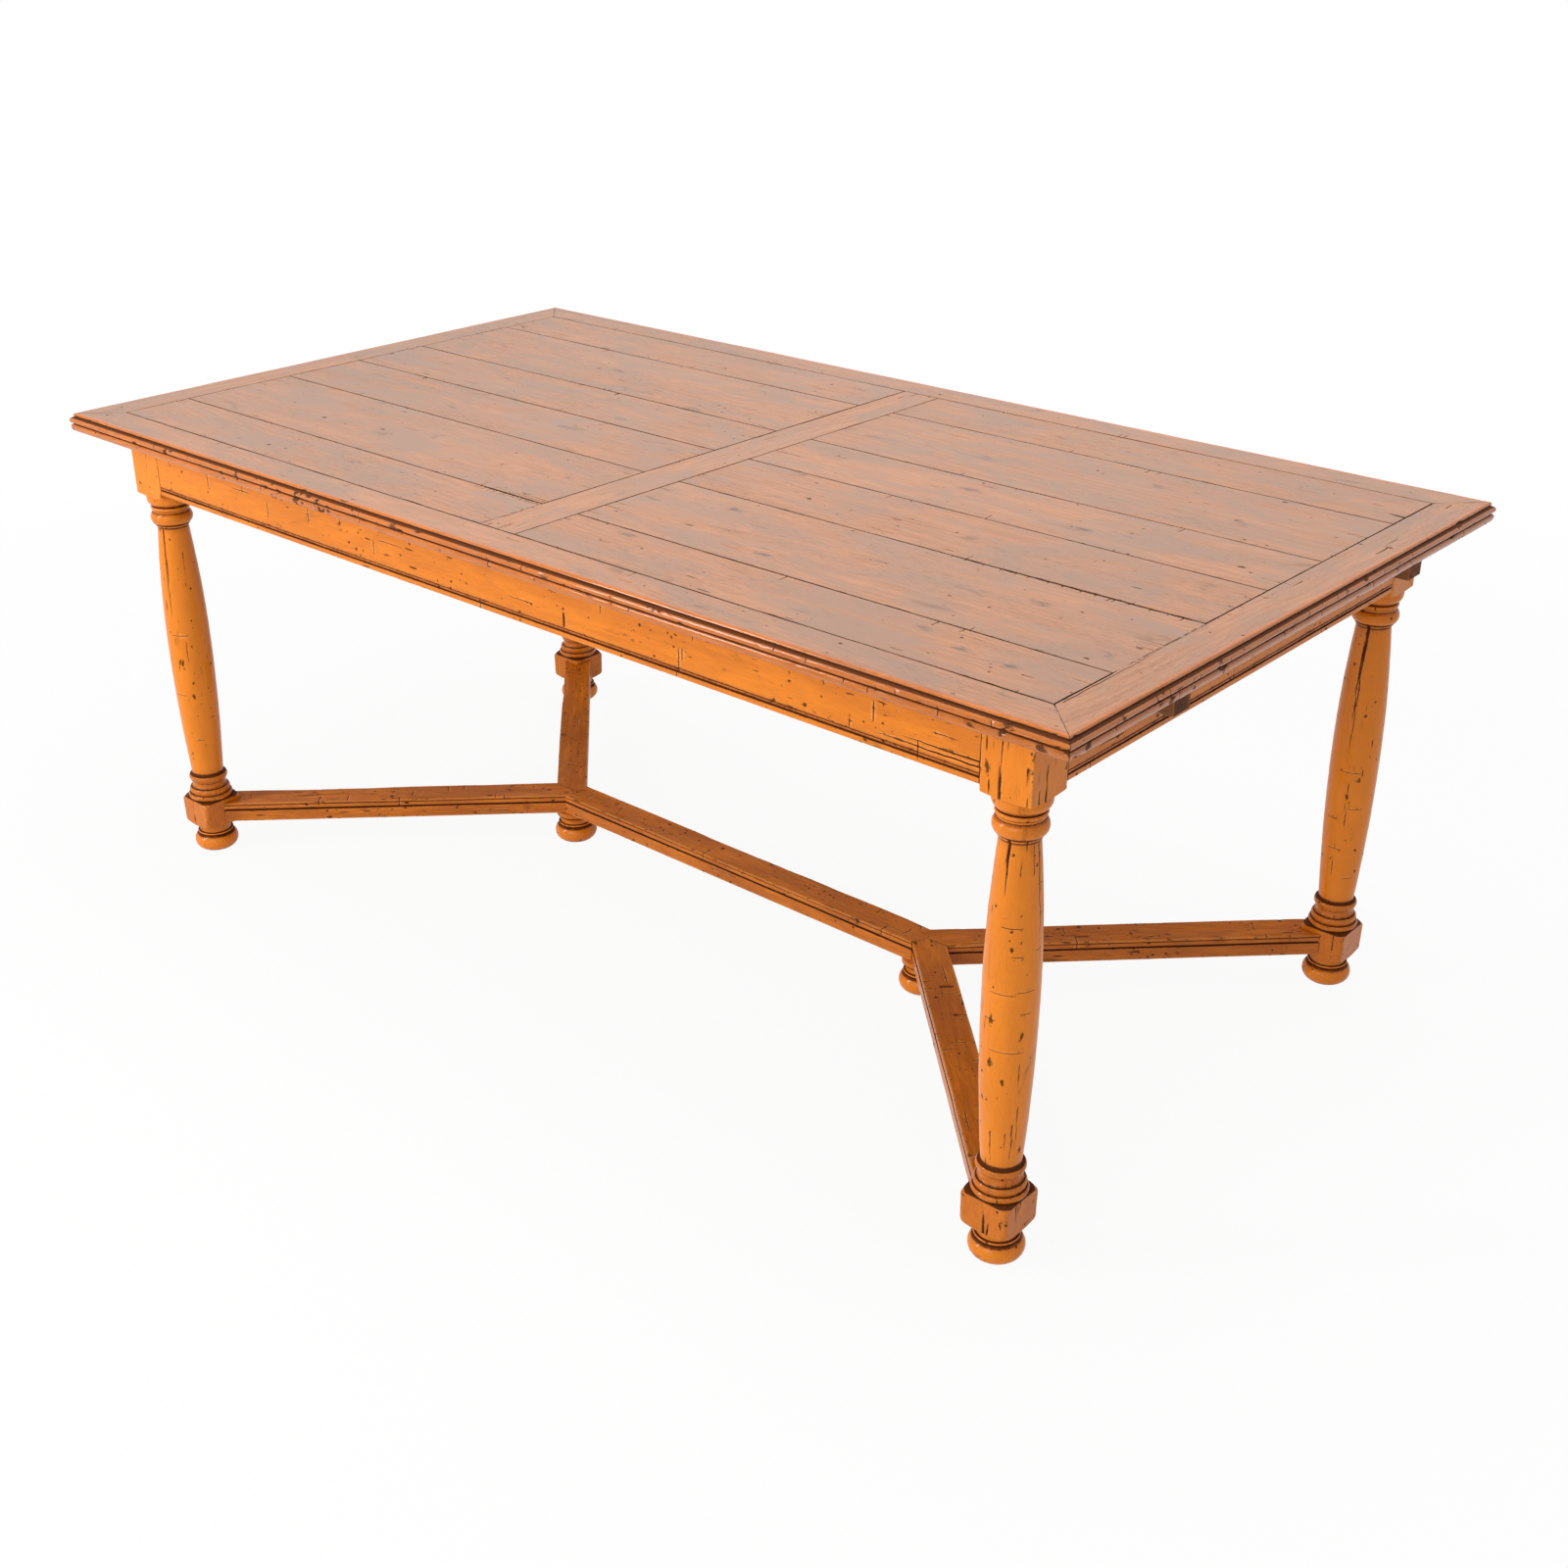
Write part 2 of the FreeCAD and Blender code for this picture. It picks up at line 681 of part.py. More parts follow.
def make_lopers(parts):
    """Four pull-out leaf supports with stop pins, their channelled guides and their inner stops."""
    half = loper_width / 2
    pin_x = loper_tail + pin_end_distance
    pin_base = loper_base - pin_projection
    bar = box((loper_tail, -half, loper_base), (loper_tip, half, loper_top))
    tip_edges = [e for e in bar.Edges if all(abs(v.X - loper_tip) < loper_edge_bevel for v in e.Vertexes)]
    bar = bar.makeChamfer(loper_edge_bevel, tip_edges)
    pin = Part.makeCylinder(pin_radius, loper_top - pin_base, FreeCAD.Vector(pin_x, 0, pin_base), up)
    bar = bar.cut(pin)
    guide = box((guide_inner, -guide_half_width, guide_base), (guide_outer, guide_half_width, underside))
    guide = guide.cut(box(
        (guide_inner, -guide_half_gap, guide_floor_top),
        (guide_outer, guide_half_gap, underside),
    ))
    slot_half = pin_radius + pin_play
    guide = guide.cut(box((guide_inner, -slot_half, guide_base), (slot_end, slot_half, guide_floor_top)))
    stop_face = loper_tail - loper_clearance
    stop = box((stop_face - stop_length, -half, loper_base), (stop_face, half, underside))
    offset = FreeCAD.Vector(0, loper_centre_y, 0)
    for shape in (bar, pin, guide, stop):
        shape.translate(offset)
    stops = []
    for x_name, side_x in sides.items():
        for y_name, side_y in depths.items():
            place = "%s_%s" % (x_name, y_name)
            parts["loper_" + place] = mirrored(bar, side_x, side_y)
            parts["loper_pin_" + place] = mirrored(pin, side_x, side_y)
            parts["loper_guide_" + place] = mirrored(guide, side_x, side_y)
            stops.append(mirrored(stop, side_x, side_y))
    parts["loper_stops"] = Part.makeCompound(stops)


def bearer_block():
    """The bearer under the centre board before it is rebated, housed into both long aprons."""
    reach = long_apron_face - apron_thickness + bearer_housing
    half = bearer_width / 2
    return box((-half, -reach, underside - bearer_depth), (half, reach, underside))


def long_cleat(side):
    """The strip along the inside of a long apron that carries the screws into the top."""
    inner = long_apron_face - apron_thickness
    reach = leg_x - top_block_size / 2
    strip = box((-reach, inner - cleat_size, underside - cleat_size), (reach, inner, underside))
    return mirrored(strip, 1, side)


def make_under_frame(parts):
    """The bearer, the cleats under the top and the corner braces with their bolts and nuts."""
    bearer = bearer_block()
    inner = long_apron_face - apron_thickness
    for name, side in depths.items():
        parts["apron_cleat_" + name] = long_cleat(side)
        rebate = box(
            (-bearer_width / 2, inner - cleat_size, underside - cleat_size),
            (bearer_width / 2, inner, underside),
        )
        bearer = bearer.cut(mirrored(rebate, 1, side))
    parts["centre_bearer"] = bearer
    for side in depths.values():
        housed = mirrored(box(
            (-bearer_width / 2, inner, underside - cleat_size),
            (bearer_width / 2, inner + bearer_housing, underside),
        ), 1, side)
        parts["centre_bearer"] = parts["centre_bearer"].cut(housed)
    reach_y = loper_centre_y - guide_half_width - end_cleat_gap
    for name, side in sides.items():
        cleat = box(
            (end_cleat_x - end_cleat_width / 2, -reach_y, underside - end_cleat_thickness),
            (end_cleat_x + end_cleat_width / 2, reach_y, underside),
        )
        parts["end_cleat_" + name] = mirrored(cleat, side, 1)
    make_braces(parts)


def make_braces(parts):
    """Four braces set across the corners, each drawn up to its leg by a hanger bolt and nut."""
    outer = brace_line()
    inner = outer - brace_thickness * math.sqrt(2)
    long_inner = long_apron_face - apron_thickness
    end_inner = end_apron_face - apron_thickness
    base = apron_base + brace_lift
    plan = [
        (outer - long_inner, long_inner), (inner - long_inner, long_inner),
        (end_inner, inner - end_inner), (end_inner, outer - end_inner),
    ]
    brace = prism(plan, base, brace_height).cut(brace_bolt(bolt_clearance))
    inward = FreeCAD.Vector(-1, -1, 0).normalize()
    face = FreeCAD.Vector(leg_x - top_block_size / 2, leg_y - top_block_size / 2, 0)
    face.z = base + brace_height / 2
    face += inward * (brace_corner_gap + brace_thickness)
    hole = Part.makeCylinder(bolt_radius + bolt_clearance, washer_thickness + nut_height, face, inward)
    washer = Part.makeCylinder(washer_radius, washer_thickness, face, inward)
    radius = nut_across / math.sqrt(3)
    corners = []
    for step in range(6):
        angle = math.radians(60 * step)
        corners.append((radius * math.cos(angle), radius * math.sin(angle)))
    hexagon = prism(corners, 0, nut_height)
    hexagon.Placement = FreeCAD.Placement(
        face + inward * washer_thickness, FreeCAD.Rotation(up, inward)
    )
    nut = hexagon.fuse(washer).cut(hole)
    bolts = []
    nuts = []
    for x_name, side_x in sides.items():
        for y_name, side_y in depths.items():
            parts["corner_brace_%s_%s" % (x_name, y_name)] = mirrored(brace, side_x, side_y)
            bolts.append(mirrored(brace_bolt(0), side_x, side_y))
            nuts.append(mirrored(nut, side_x, side_y))
    parts["brace_bolts"] = Part.makeCompound(bolts)
    parts["brace_nuts"] = Part.makeCompound(nuts)


def screw(x, y, head_base, grow):
    """An upright wood screw driven up through a piece into the top, grown by a clearance."""
    top = underside + screw_bite + grow
    head_top = head_base + screw_head_height
    body = lathe([
        (screw_head_radius + grow, head_base),
        (screw_head_radius + grow, head_base + screw_clearance),
        (screw_radius + grow, head_top + grow),
        (screw_radius + grow, top),
    ])
    body.translate(FreeCAD.Vector(x, y, 0))
    return body


def screw_places():
    """The (x, y, height of the head) of each screw that holds the top and what is hung from it."""
    places = []
    cleat_y = long_apron_face - apron_thickness - cleat_size / 2
    cleat_reach = leg_x - top_block_size / 2
    for side_y in depths.values():
        for share in cleat_screw_shares:
            places.append((share * cleat_reach, side_y * cleat_y, underside - cleat_size))
    for share in bearer_screw_shares:
        places.append((0, share * field_half_width, underside - bearer_depth))
    cleat_half = loper_centre_y - guide_half_width - end_cleat_gap
    cheek_y = guide_half_gap + guide_cheek / 2
    stop_x = loper_tail - loper_clearance - stop_length / 2
    for side_x in sides.values():
        for share in end_cleat_screw_shares:
            places.append((side_x * end_cleat_x, share * cleat_half, underside - end_cleat_thickness))
        for side_y in depths.values():
            places.append((side_x * stop_x, side_y * loper_centre_y, loper_base))
            for share in guide_screw_shares:
                for cheek in (-cheek_y, cheek_y):
                    x = guide_inner + share * guide_length
                    places.append((side_x * x, side_y * (loper_centre_y + cheek), guide_base))
    return places


def make_screws(parts):
    """Drives the screws, and bores each piece that a screw passes through or bites into."""
    screws = [screw(x, y, head, 0) for x, y, head in screw_places()]
    cutters = [screw(x, y, head, screw_clearance) for x, y, head in screw_places()]
    for node in list(parts):
        hits = [c for c in cutters if c.BoundBox.intersect(parts[node].BoundBox)]
        if hits and node not in ("brace_bolts", "brace_nuts", "mitre_splines"):
            parts[node] = parts[node].cut(hits)
    parts["top_screws"] = Part.makeCompound(screws)


def main():
    parts = {}
    make_borders(parts)
    make_centre_board(parts)
    make_planks(parts)
    make_aprons(parts)
    make_legs(parts)
    make_stretcher(parts)
    make_lopers(parts)
    make_under_frame(parts)
    make_screws(parts)
    os.makedirs("parts", exist_ok=True)
    for node, shape in sorted(parts.items()):
        shape.exportStep("parts/%s.step" % node)
        solids = shape.Solids
        print(node, len(solids), shape.isValid(), round(sum(s.Volume for s in solids)))


main()
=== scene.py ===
from itertools import product
import math

import bmesh
import bpy
import numpy as np
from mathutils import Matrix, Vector


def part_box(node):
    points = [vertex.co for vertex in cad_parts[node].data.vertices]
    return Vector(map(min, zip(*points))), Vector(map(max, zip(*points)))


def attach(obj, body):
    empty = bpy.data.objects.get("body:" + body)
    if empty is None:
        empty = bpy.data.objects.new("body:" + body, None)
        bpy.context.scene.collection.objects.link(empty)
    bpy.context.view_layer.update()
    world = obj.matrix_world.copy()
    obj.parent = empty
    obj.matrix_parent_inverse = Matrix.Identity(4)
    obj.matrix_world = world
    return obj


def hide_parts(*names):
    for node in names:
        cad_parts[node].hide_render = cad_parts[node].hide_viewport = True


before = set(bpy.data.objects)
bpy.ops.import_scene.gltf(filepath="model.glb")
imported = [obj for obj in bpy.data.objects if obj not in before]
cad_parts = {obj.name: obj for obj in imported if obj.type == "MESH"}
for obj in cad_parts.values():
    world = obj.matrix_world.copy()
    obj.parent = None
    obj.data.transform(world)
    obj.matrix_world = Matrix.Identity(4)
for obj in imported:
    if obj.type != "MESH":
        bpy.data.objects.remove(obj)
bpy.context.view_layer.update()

# Harvest dining table: worn plank top in a mitred and moulded border, honey-coloured moulded
# aprons, turned legs and a double-Y stretcher, with pull-out leaf supports.
# Metres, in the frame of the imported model. The visible woodwork is rebuilt here with its ripple,
# seams, checks, chips and glaze, and stands for the plain solids of the same name.

bl_info = {
    "name": "Harvest Table",
    "version": (1, 0, 0),
    "blender": (4, 5, 0),
    "location": "View3D > Sidebar > Harvest Table",
    "description": "Dresses the packed harvest table in worn, hand-finished woodwork",
    "category": "Add Mesh",
}

mm = 0.001
sides = {"left": -1, "right": 1}
depths = {"front": -1, "back": 1}
root_body = "table"
# Too small to see, and the angle from which an edge is drawn sharp.
hair = 0.01 * mm
crease = math.radians(40)
draws = np.random.default_rng


# Sizes and colours that a user would change


def length(label, description, millimetres):
    """A length that shows in the panel."""
    return bpy.props.FloatProperty(
        name=label, description=description, default=millimetres * mm, unit="LENGTH", precision=4
    )


def colour(label, description, red, green, blue):
    """A colour that shows in the panel."""
    return bpy.props.FloatVectorProperty(
        name=label, description=description, default=(red, green, blue), subtype="COLOR",
        min=0, max=1,
    )


class HarvestTopSizes(bpy.types.PropertyGroup):
    """Sizes of the top's edge moulding, seams and wear."""

    border_width: length("Border width", "Width of the mitred border boards", 66)
    seam_bevel: length("Seam bevel", "Bevel along the boards' upper edges", 0.8)
    seam_gap: length("Seam gap", "Mean gap beside each board's edge", 0.5)
    seam_wander: length("Seam wander", "How far a seam strays from straight", 0.7)
    surface_inset: length("Surface inset", "From the outermost face to the flat surface", 9)
    nosing_inset: length("Nosing inset", "From the outermost face to the foot of the nosing", 5.2)
    nosing_drop: length("Nosing drop", "Height of the nosing", 3.1)
    quirk_inset: length("Quirk inset", "Depth of the quirk under the nosing", 7.0)
    quirk_drop: length("Quirk drop", "Height of the quirk below the surface", 4.4)
    bead_inset: length("Bead inset", "From the outermost face to the beads' edges", 2.6)
    bead_drop: length("Upper bead drop", "Top of the upper bead below the surface", 6.9)
    bead_height: length("Upper bead height", "Height of the upper bead", 8.6)
    groove_height: length("Groove height", "Height of the groove between the beads", 2.0)
    groove_inset: length("Groove inset", "Depth of the groove between the beads", 5)
    lower_inset: length("Lower bead crest", "From the outermost face to the lower bead", 1.2)
    foot_inset: length("Lower bead foot", "Inset of the lower bead at the underside", 3.4)
    planing: length("Planing", "Height of the hand-planed ripple", 0.5)
    check_depth: length("Check depth", "Depth of the checks and splits", 1.8)
    chip_depth: length("Chip depth", "Depth of the chips along the moulding", 1.5)


class HarvestBaseSizes(bpy.types.PropertyGroup):
    """Sizes of the aprons, stretcher and turned posts."""

    apron_thickness: length("Apron thickness", "Thickness of the aprons", 24)
    apron_radius: length("Apron edge", "Rounding of the aprons' lower edge", 3)
    lip_height: length("Lip groove height", "Wide groove above the aprons' lower edge", 9.5)
    lip_width: length("Lip groove width", "Width of the wide groove", 2.6)
    lip_depth: length("Lip groove depth", "Depth of the wide groove", 1.6)
    fine_height: length("Fine groove height", "Fine groove above the aprons' lower edge", 14)
    fine_width: length("Fine groove width", "Width of the fine groove", 1.4)
    fine_depth: length("Fine groove depth", "Depth of the fine groove", 0.9)
    junction_reach: length("Junction reach", "From the middle to each fork's junction", 400)
    stretcher_width: length("Stretcher width", "Width of the stretcher bars", 52)
    block_half: length("Block half width", "Half the width of the legs' square blocks", 36)
    joint_gap: length("Joint gap", "Dark line left where boards butt", 0.35)
    ripple: length("Ripple", "Unevenness left by hand tools", 0.45)
    edge_wear: length("Edge wear", "How far the stretcher's edges are worn", 1.6)
    segments: bpy.props.IntProperty(
        name="Segments", description="Faces round a turned post", default=168, min=16
    )


class HarvestFinishes(bpy.types.PropertyGroup):
    """Colours of the finishes."""

    top_pale: colour("Top, pale", "Pale grain of the top", 0.59, 0.282, 0.158)
    top_deep: colour("Top, deep", "Deep grain of the top", 0.39, 0.182, 0.098)
    top_smoke: colour("Top, smoke", "Grey cast in the top's patina", 0.40, 0.236, 0.166)
    base_pale: colour("Base, pale", "Pale grain of the honey finish", 0.93, 0.268, 0.012)
    base_deep: colour("Base, deep", "Deep grain of the honey finish", 0.70, 0.180, 0.007)
    base_smoke: colour("Base, smoke", "Brown cast in the honey finish", 0.44, 0.105, 0.008)
    glaze: colour("Glaze", "Dark glaze left in seams and grooves", 0.045, 0.016, 0.005)
    support_pale: colour("Support, pale", "Pale grain of the leaf supports", 0.36, 0.15, 0.045)
    support_deep: colour("Support, deep", "Deep grain of the leaf supports", 0.20, 0.085, 0.03)
    raw_pale: colour("Raw, pale", "Pale grain of the unfinished wood", 0.46, 0.29, 0.15)
    raw_deep: colour("Raw, deep", "Deep grain of the unfinished wood", 0.30, 0.17, 0.08)
    steel: colour("Steel", "Zinc-plated fasteners", 0.50, 0.49, 0.47)


# Shaping

# The grain's direction in a board along Y and in one along X.
grain_ways = ((0, 1, 0), (1, 0, 0))


def soft_noise(points, size, seed):
    """Smooth values between -1 and 1 at points, changing over about the given size.

    The corners of each cell get a value from a hash of their whole numbers.
    """
    cell = np.asarray(points, float) / size + seed * np.array((17.31, 5.17, 29.73))
    whole = np.floor(cell)
    part = cell - whole
    ease = part * part * (3 - 2 * part)
    total = np.zeros(cell.shape[:-1])
    for corner in np.ndindex(2, 2, 2):
        key = (whole + corner).astype(np.int64) @ np.array((73856093, 19349663, 83492791))
        key = ((key ^ (key >> 13)) * 1274126177) & 0x7FFFFFFF
        key = ((key ^ (key >> 15)) * 668265263) & 0x7FFFFFFF
        value = (key % 4096) / 2047.5 - 1
        total += value * np.where(corner, ease, 1 - ease).prod(-1)
    return total


def line_noise(along, size, seed):
    """Smooth values between -1 and 1 along a line."""
    along = np.asarray(along, float)
    still = np.zeros_like(along)
    return soft_noise(np.stack([along, still, still], -1), size, seed)


def smooth_step(value, low, high):
    """0 below low, 1 above high, and smooth between."""
    part = np.clip((value - low) / (high - low), 0, 1)
    return part * part * (3 - 2 * part)


def bow(start, end, rise, count, glaze=0.0):
    """Points of an arc from start, left out, to end, rising to the right of its chord."""
    first, last = np.array(start[:2]), np.array(end[:2])
    chord = last - first
    span = np.hypot(*chord)
    chord = chord / span
    right = np.array((chord[1], -chord[0])) * np.sign(rise)
    half = 2 * math.atan(2 * abs(rise) / span)
    radius = span / 2 / math.sin(half)
    points = []
    for step in range(1, count + 1):
        angle = -half + 2 * half * step / count
        out = radius * (math.cos(angle) - math.cos(half))
        spot = (first + last) / 2 + chord * radius * math.sin(angle) + right * out
        shade = glaze * (2 * step / count - 1) ** 4
        points.append((spot[0], spot[1], shade))
    points[-1] = tuple(end)
    return points


def run_of(outline):
    """The outline closed, and the distance of each point round it."""
    closed = np.vstack([outline, outline[:1]])
    legs = np.hypot(*np.diff(closed[:, :2], axis=0).T)
    return closed, np.concatenate([[0], np.cumsum(legs)])


def nearest_run(closed, run, spot):
    """Distance round the outline of its point nearest to a spot given as (across, up)."""
    best = (1e9, 0)
    for first, last, start in zip(closed[:-1, :2], closed[1:, :2], run[:-1]):
        leg = last - first
        size = np.hypot(*leg)
        if size > 0:
            part = np.clip(np.dot(np.array(spot) - first, leg) / size ** 2, 0, 1)
            gap = np.hypot(*(np.array(spot) - first - leg * part))
            best = min(best, (gap, start + part * size))
    return best[1]


# Room among a board's lines for a groove's edges, between grooves, for a nick and at its ends.
groove_rim = 0.5 * mm
groove_room = 1.5 * mm
tick_half = 0.45 * mm
end_step = 1.1 * mm


def with_grooves(lines, grooves, fixed=()):
    """Sorted lines with four for each groove (place, half width), and none that would crowd it.

    A groove too near a fixed line, another groove or the ends is left out.
    """
    kept, extra = list(lines[1:-1]), []
    fixed = np.array([lines[0], *fixed, lines[-1]])
    for place, half in grooves:
        rim = half + groove_rim
        apart = all(abs(place - other) > 2 * rim + groove_room for other in extra)
        if apart and abs(fixed - place).min() > rim + 0.3 * mm:
            kept = [
                x for x in kept
                if abs(x - place) > rim + groove_room or abs(fixed - x).min() == 0
            ]
            extra += [place - rim, place - half, place + half, place + rim]
    return np.array([lines[0], *sorted(kept + extra), lines[-1]])


def nearest(lines, place):
    """Number of the line nearest to a place."""
    return int(np.argmin(abs(lines - place)))


def point_outwards(mesh, merge=0.0):
    """Points the faces of a closed mesh outwards, and smooths all but its creases."""
    work = bmesh.new()
    work.from_mesh(mesh)
    if merge:
        bmesh.ops.dissolve_degenerate(work, dist=merge, edges=work.edges)
    bmesh.ops.recalc_face_normals(work, faces=work.faces)
    work.to_mesh(mesh)
    work.free()
    mesh.shade_smooth()
    mesh.set_sharp_from_angle(angle=crease)


def new_mesh(name, points, edges=(), faces=()):
    """A mesh of points, edges and faces."""
    mesh = bpy.data.meshes.new(name)
    mesh.from_pydata(points, edges, faces)
    return mesh


def new_object(name, data):
    """An object in the scene."""
    made = bpy.data.objects.new(name, data)
    bpy.context.scene.collection.objects.link(made)
    return made


def finish_with(mesh, finish):
    """Gives a mesh its one material."""
    mesh.materials.clear()
    mesh.materials.append(bpy.data.materials[finish])


def store(mesh, name, values, kind="FLOAT"):
    """Writes a value for each vertex under a name."""
    held = mesh.attributes.get(name) or mesh.attributes.new(name, kind, "POINT")
    field = "vector" if kind == "FLOAT_VECTOR" else "value"
    held.data.foreach_set(field, np.ascontiguousarray(values, dtype=np.float32).ravel())


def vertex_places(mesh):
    """The vertices of a mesh as an array."""
    flat = np.zeros(len(mesh.vertices) * 3)
    mesh.vertices.foreach_get("co", flat)
    return flat.reshape(-1, 3)


def store_edges(mesh):
    """Writes how sharply the surface turns at each vertex: above 0 on edges, below 0 in grooves."""
    places = vertex_places(mesh)
    pairs = np.zeros(len(mesh.edges) * 2, dtype=np.int32)
    mesh.edges.foreach_get("vertices", pairs)
    normals = np.zeros(len(mesh.vertices) * 3)
    mesh.vertices.foreach_get("normal", normals)
    pairs, normals = pairs.reshape(-1, 2), normals.reshape(-1, 3)
    leg = places[pairs[:, 1]] - places[pairs[:, 0]]
    leg /= np.maximum(np.sqrt((leg ** 2).sum(1)), 1e-7)[:, None]
    total, count = np.zeros(len(places)), np.zeros(len(places))
    for near, way in ((0, -1), (1, 1)):
        here = pairs[:, near]
        np.add.at(total, here, way * (leg * normals[here]).sum(1))
        np.add.at(count, here, 1)
    store(mesh, "edge", total / np.maximum(count, 1))


def stain(mesh, label, spots):
    """Writes soft spots for the finish to break up: each has a middle and its X, Y and Z reach."""
    places = vertex_places(mesh)
    level = np.zeros(len(places))
    for middle, reach in spots:
        away = np.sqrt((((places - np.array(middle)) / np.array(reach)) ** 2).sum(1))
        level = np.maximum(level, np.clip(1 - away, 0, 1))
    store(mesh, label, level)


def hand_over(name, mesh, finish, node, along, seed, tone, body=root_body):
    """Makes the finished piece of a node: its grain runs along a direction, and it rides on a body."""
    along = Vector(along).normalized()
    helper = Vector((0, 0, 1)) if abs(along.z) < 0.9 else Vector((1, 0, 0))
    across = helper.cross(along).normalized()
    basis = np.array([along, across, along.cross(across)])
    shift = draws(seed).uniform((0, 0.05, 0.03), (7, 0.45, 0.12))
    place = vertex_places(mesh) @ basis.T
    place -= place.mean(0) * (0, 1, 1)
    store(mesh, "grain", place + shift, "FLOAT_VECTOR")
    store(mesh, "tone", np.full(len(mesh.vertices), tone))
    store_edges(mesh)
    piece = new_object(name, mesh)
    finish_with(mesh, finish)
    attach(piece, body)
    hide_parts(node)


def board(
    name, place, outline, low, high, step=6 * mm, pace=7 * mm, checks=(), ticks=(),
    reshape=None, wear=None, ridge=False, seed=0, ripple=0.0, end_zone=0.08, glaze_ends=0.9,
):
    """A board swept along a line: stations along it, and an outline of (across, up, glaze).

    low and high give where it ends for each distance across. A check (from, to, across, up,
    half width, depth) runs along it, widest at from; a tick (along, across, up, reach, depth)
    runs over it. reshape moves (along, across, up), and wear returns (depth, glaze).
    """
    outline = np.array(outline, float)
    closed, run = run_of(outline)
    lines = list(run[:-1])
    for start, end in zip(run[:-1], run[1:]):
        count = max(1, math.ceil((end - start) / step))
        lines += [start + (end - start) * k / count for k in range(1, count)]
    check_runs = [nearest_run(closed, run, check[2:4]) for check in checks]
    grooves = [(at, check[4]) for check, at in zip(checks, check_runs)]
    lines = with_grooves(sorted(lines) + [run[-1]], grooves, run[1:-1])[:-1]
    across = np.interp(lines, run, closed[:, 0])
    first, last = low(across).min(), high(across).max()
    count = math.ceil((last - first) / pace)
    stations = [first, first + end_step]
    stations += [first + (last - first) * k / count for k in range(1, count)]
    stations += [last - end_step, last]
    stations = with_grooves(stations, [(tick[0], tick_half) for tick in ticks])

    spot = np.broadcast_to(lines, (len(stations), len(lines))).copy()
    opened = []
    for number, (check, at) in enumerate(zip(checks, check_runs)):
        part = (stations - check[0]) / (check[1] - check[0])
        keep = np.where((part >= -0.02) & (part <= 1), np.clip(1 - part, 0, 1) ** 0.7, 0)
        keep *= 0.8 + 0.2 * line_noise(stations, 9 * mm, seed + 40 + number)
        half = check[4]
        stray = at + line_noise(stations, 11 * mm, seed + number) * min(half * 1.2, 0.9 * mm)
        offsets = (-half - groove_rim, -half, half, half + groove_rim)
        columns = [nearest(lines, at + offset) for offset in offsets]
        if abs(lines[columns[1]] - at + half) > hair:
            continue
        for column, way in zip(columns, (-1, -1, 1, 1)):
            rim = groove_rim if column in (columns[0], columns[3]) else 0.03 * mm
            spot[:, column] = stray + way * (half * keep + rim)
        opened.append((columns[1:3], check[5], keep))
    wide = np.interp(spot, run, closed[:, 0])
    tall = np.interp(spot, run, closed[:, 1])
    glaze = np.interp(spot, run, closed[:, 2])
    ring = np.stack([np.interp(lines, run, closed[:, k]) for k in (0, 1)], -1)
    after = np.roll(ring, -1, 0) - np.roll(ring, 1, 0)
    area = np.sum(ring[:, 0] * np.roll(ring[:, 1], -1) - np.roll(ring[:, 0], -1) * ring[:, 1])
    normal = np.stack([after[:, 1], -after[:, 0]], -1) * np.sign(area)
    normal /= np.maximum(np.hypot(*normal.T), 1e-9)[:, None]

    along = np.repeat(stations[:, None], len(lines), 1)
    low_ends, high_ends = low(wide[0]), high(wide[0])
    inner_low, inner_high = first + end_zone, last - end_zone
    tail = (along - inner_high) / (last - inner_high)
    along = np.where(tail > 0, inner_high + tail * (high_ends - inner_high), along)
    head = (inner_low - along) / (inner_low - first)
    along = np.where(head > 0, inner_low - head * (inner_low - low_ends), along)

    points = np.stack([along, wide, tall], -1)
    depth = ripple * soft_noise(points * (0.25, 1, 1), 30 * mm, seed + 3)
    depth += 0.5 * ripple * soft_noise(points * (0.3, 1, 1), 9 * mm, seed + 5)
    if wear is not None:
        worn, stained = wear(along, wide, tall)
        depth -= worn
        glaze = np.maximum(glaze, stained)
    for columns, reach, keep in opened:
        for column in columns:
            depth[:, column] -= reach * keep
            glaze[:, column] = np.maximum(glaze[:, column], smooth_step(keep, 0.02, 0.25))
    for tick in ticks:
        for row in (nearest(stations, tick[0] - tick_half), nearest(stations, tick[0] + tick_half)):
            gap = np.hypot(wide[row] - tick[1], tall[row] - tick[2])
            keep = np.clip(1 - gap / tick[3], 0, 1) ** 0.5
            depth[row] -= tick[4] * keep
            glaze[row] = np.maximum(glaze[row], smooth_step(keep, 0.02, 0.3))
    wide = wide + normal[:, 0] * depth
    tall = tall + normal[:, 1] * depth
    if reshape is not None:
        along, wide, tall = reshape(along, wide, tall)
    for end in (0, -1):
        glaze[end] = np.maximum(glaze[end], glaze_ends)

    rows, columns = along.shape
    spots = place(along, wide, tall).reshape(-1, 3)
    index = np.arange(rows * columns).reshape(rows, columns)
    right = np.roll(index, -1, 1)
    quads = np.stack([index[:-1], right[:-1], right[1:], index[1:]], -1).reshape(-1, 4)
    faces = quads.tolist()
    if ridge:
        middle = np.flatnonzero(abs(ring[:, 0]) < hair)
        one, two = middle[0], middle[-1]
        halves = [list(range(one, two + 1)), list(range(two, columns)) + list(range(0, one + 1))]
    else:
        halves = [list(range(columns))]
    for half in halves:
        faces.append([int(index[0, k]) for k in half])
        faces.append([int(index[-1, k]) for k in reversed(half)])
    mesh = new_mesh(name, spots.tolist(), faces=faces)
    point_outwards(mesh)
    store(mesh, "glaze", glaze)
    return mesh


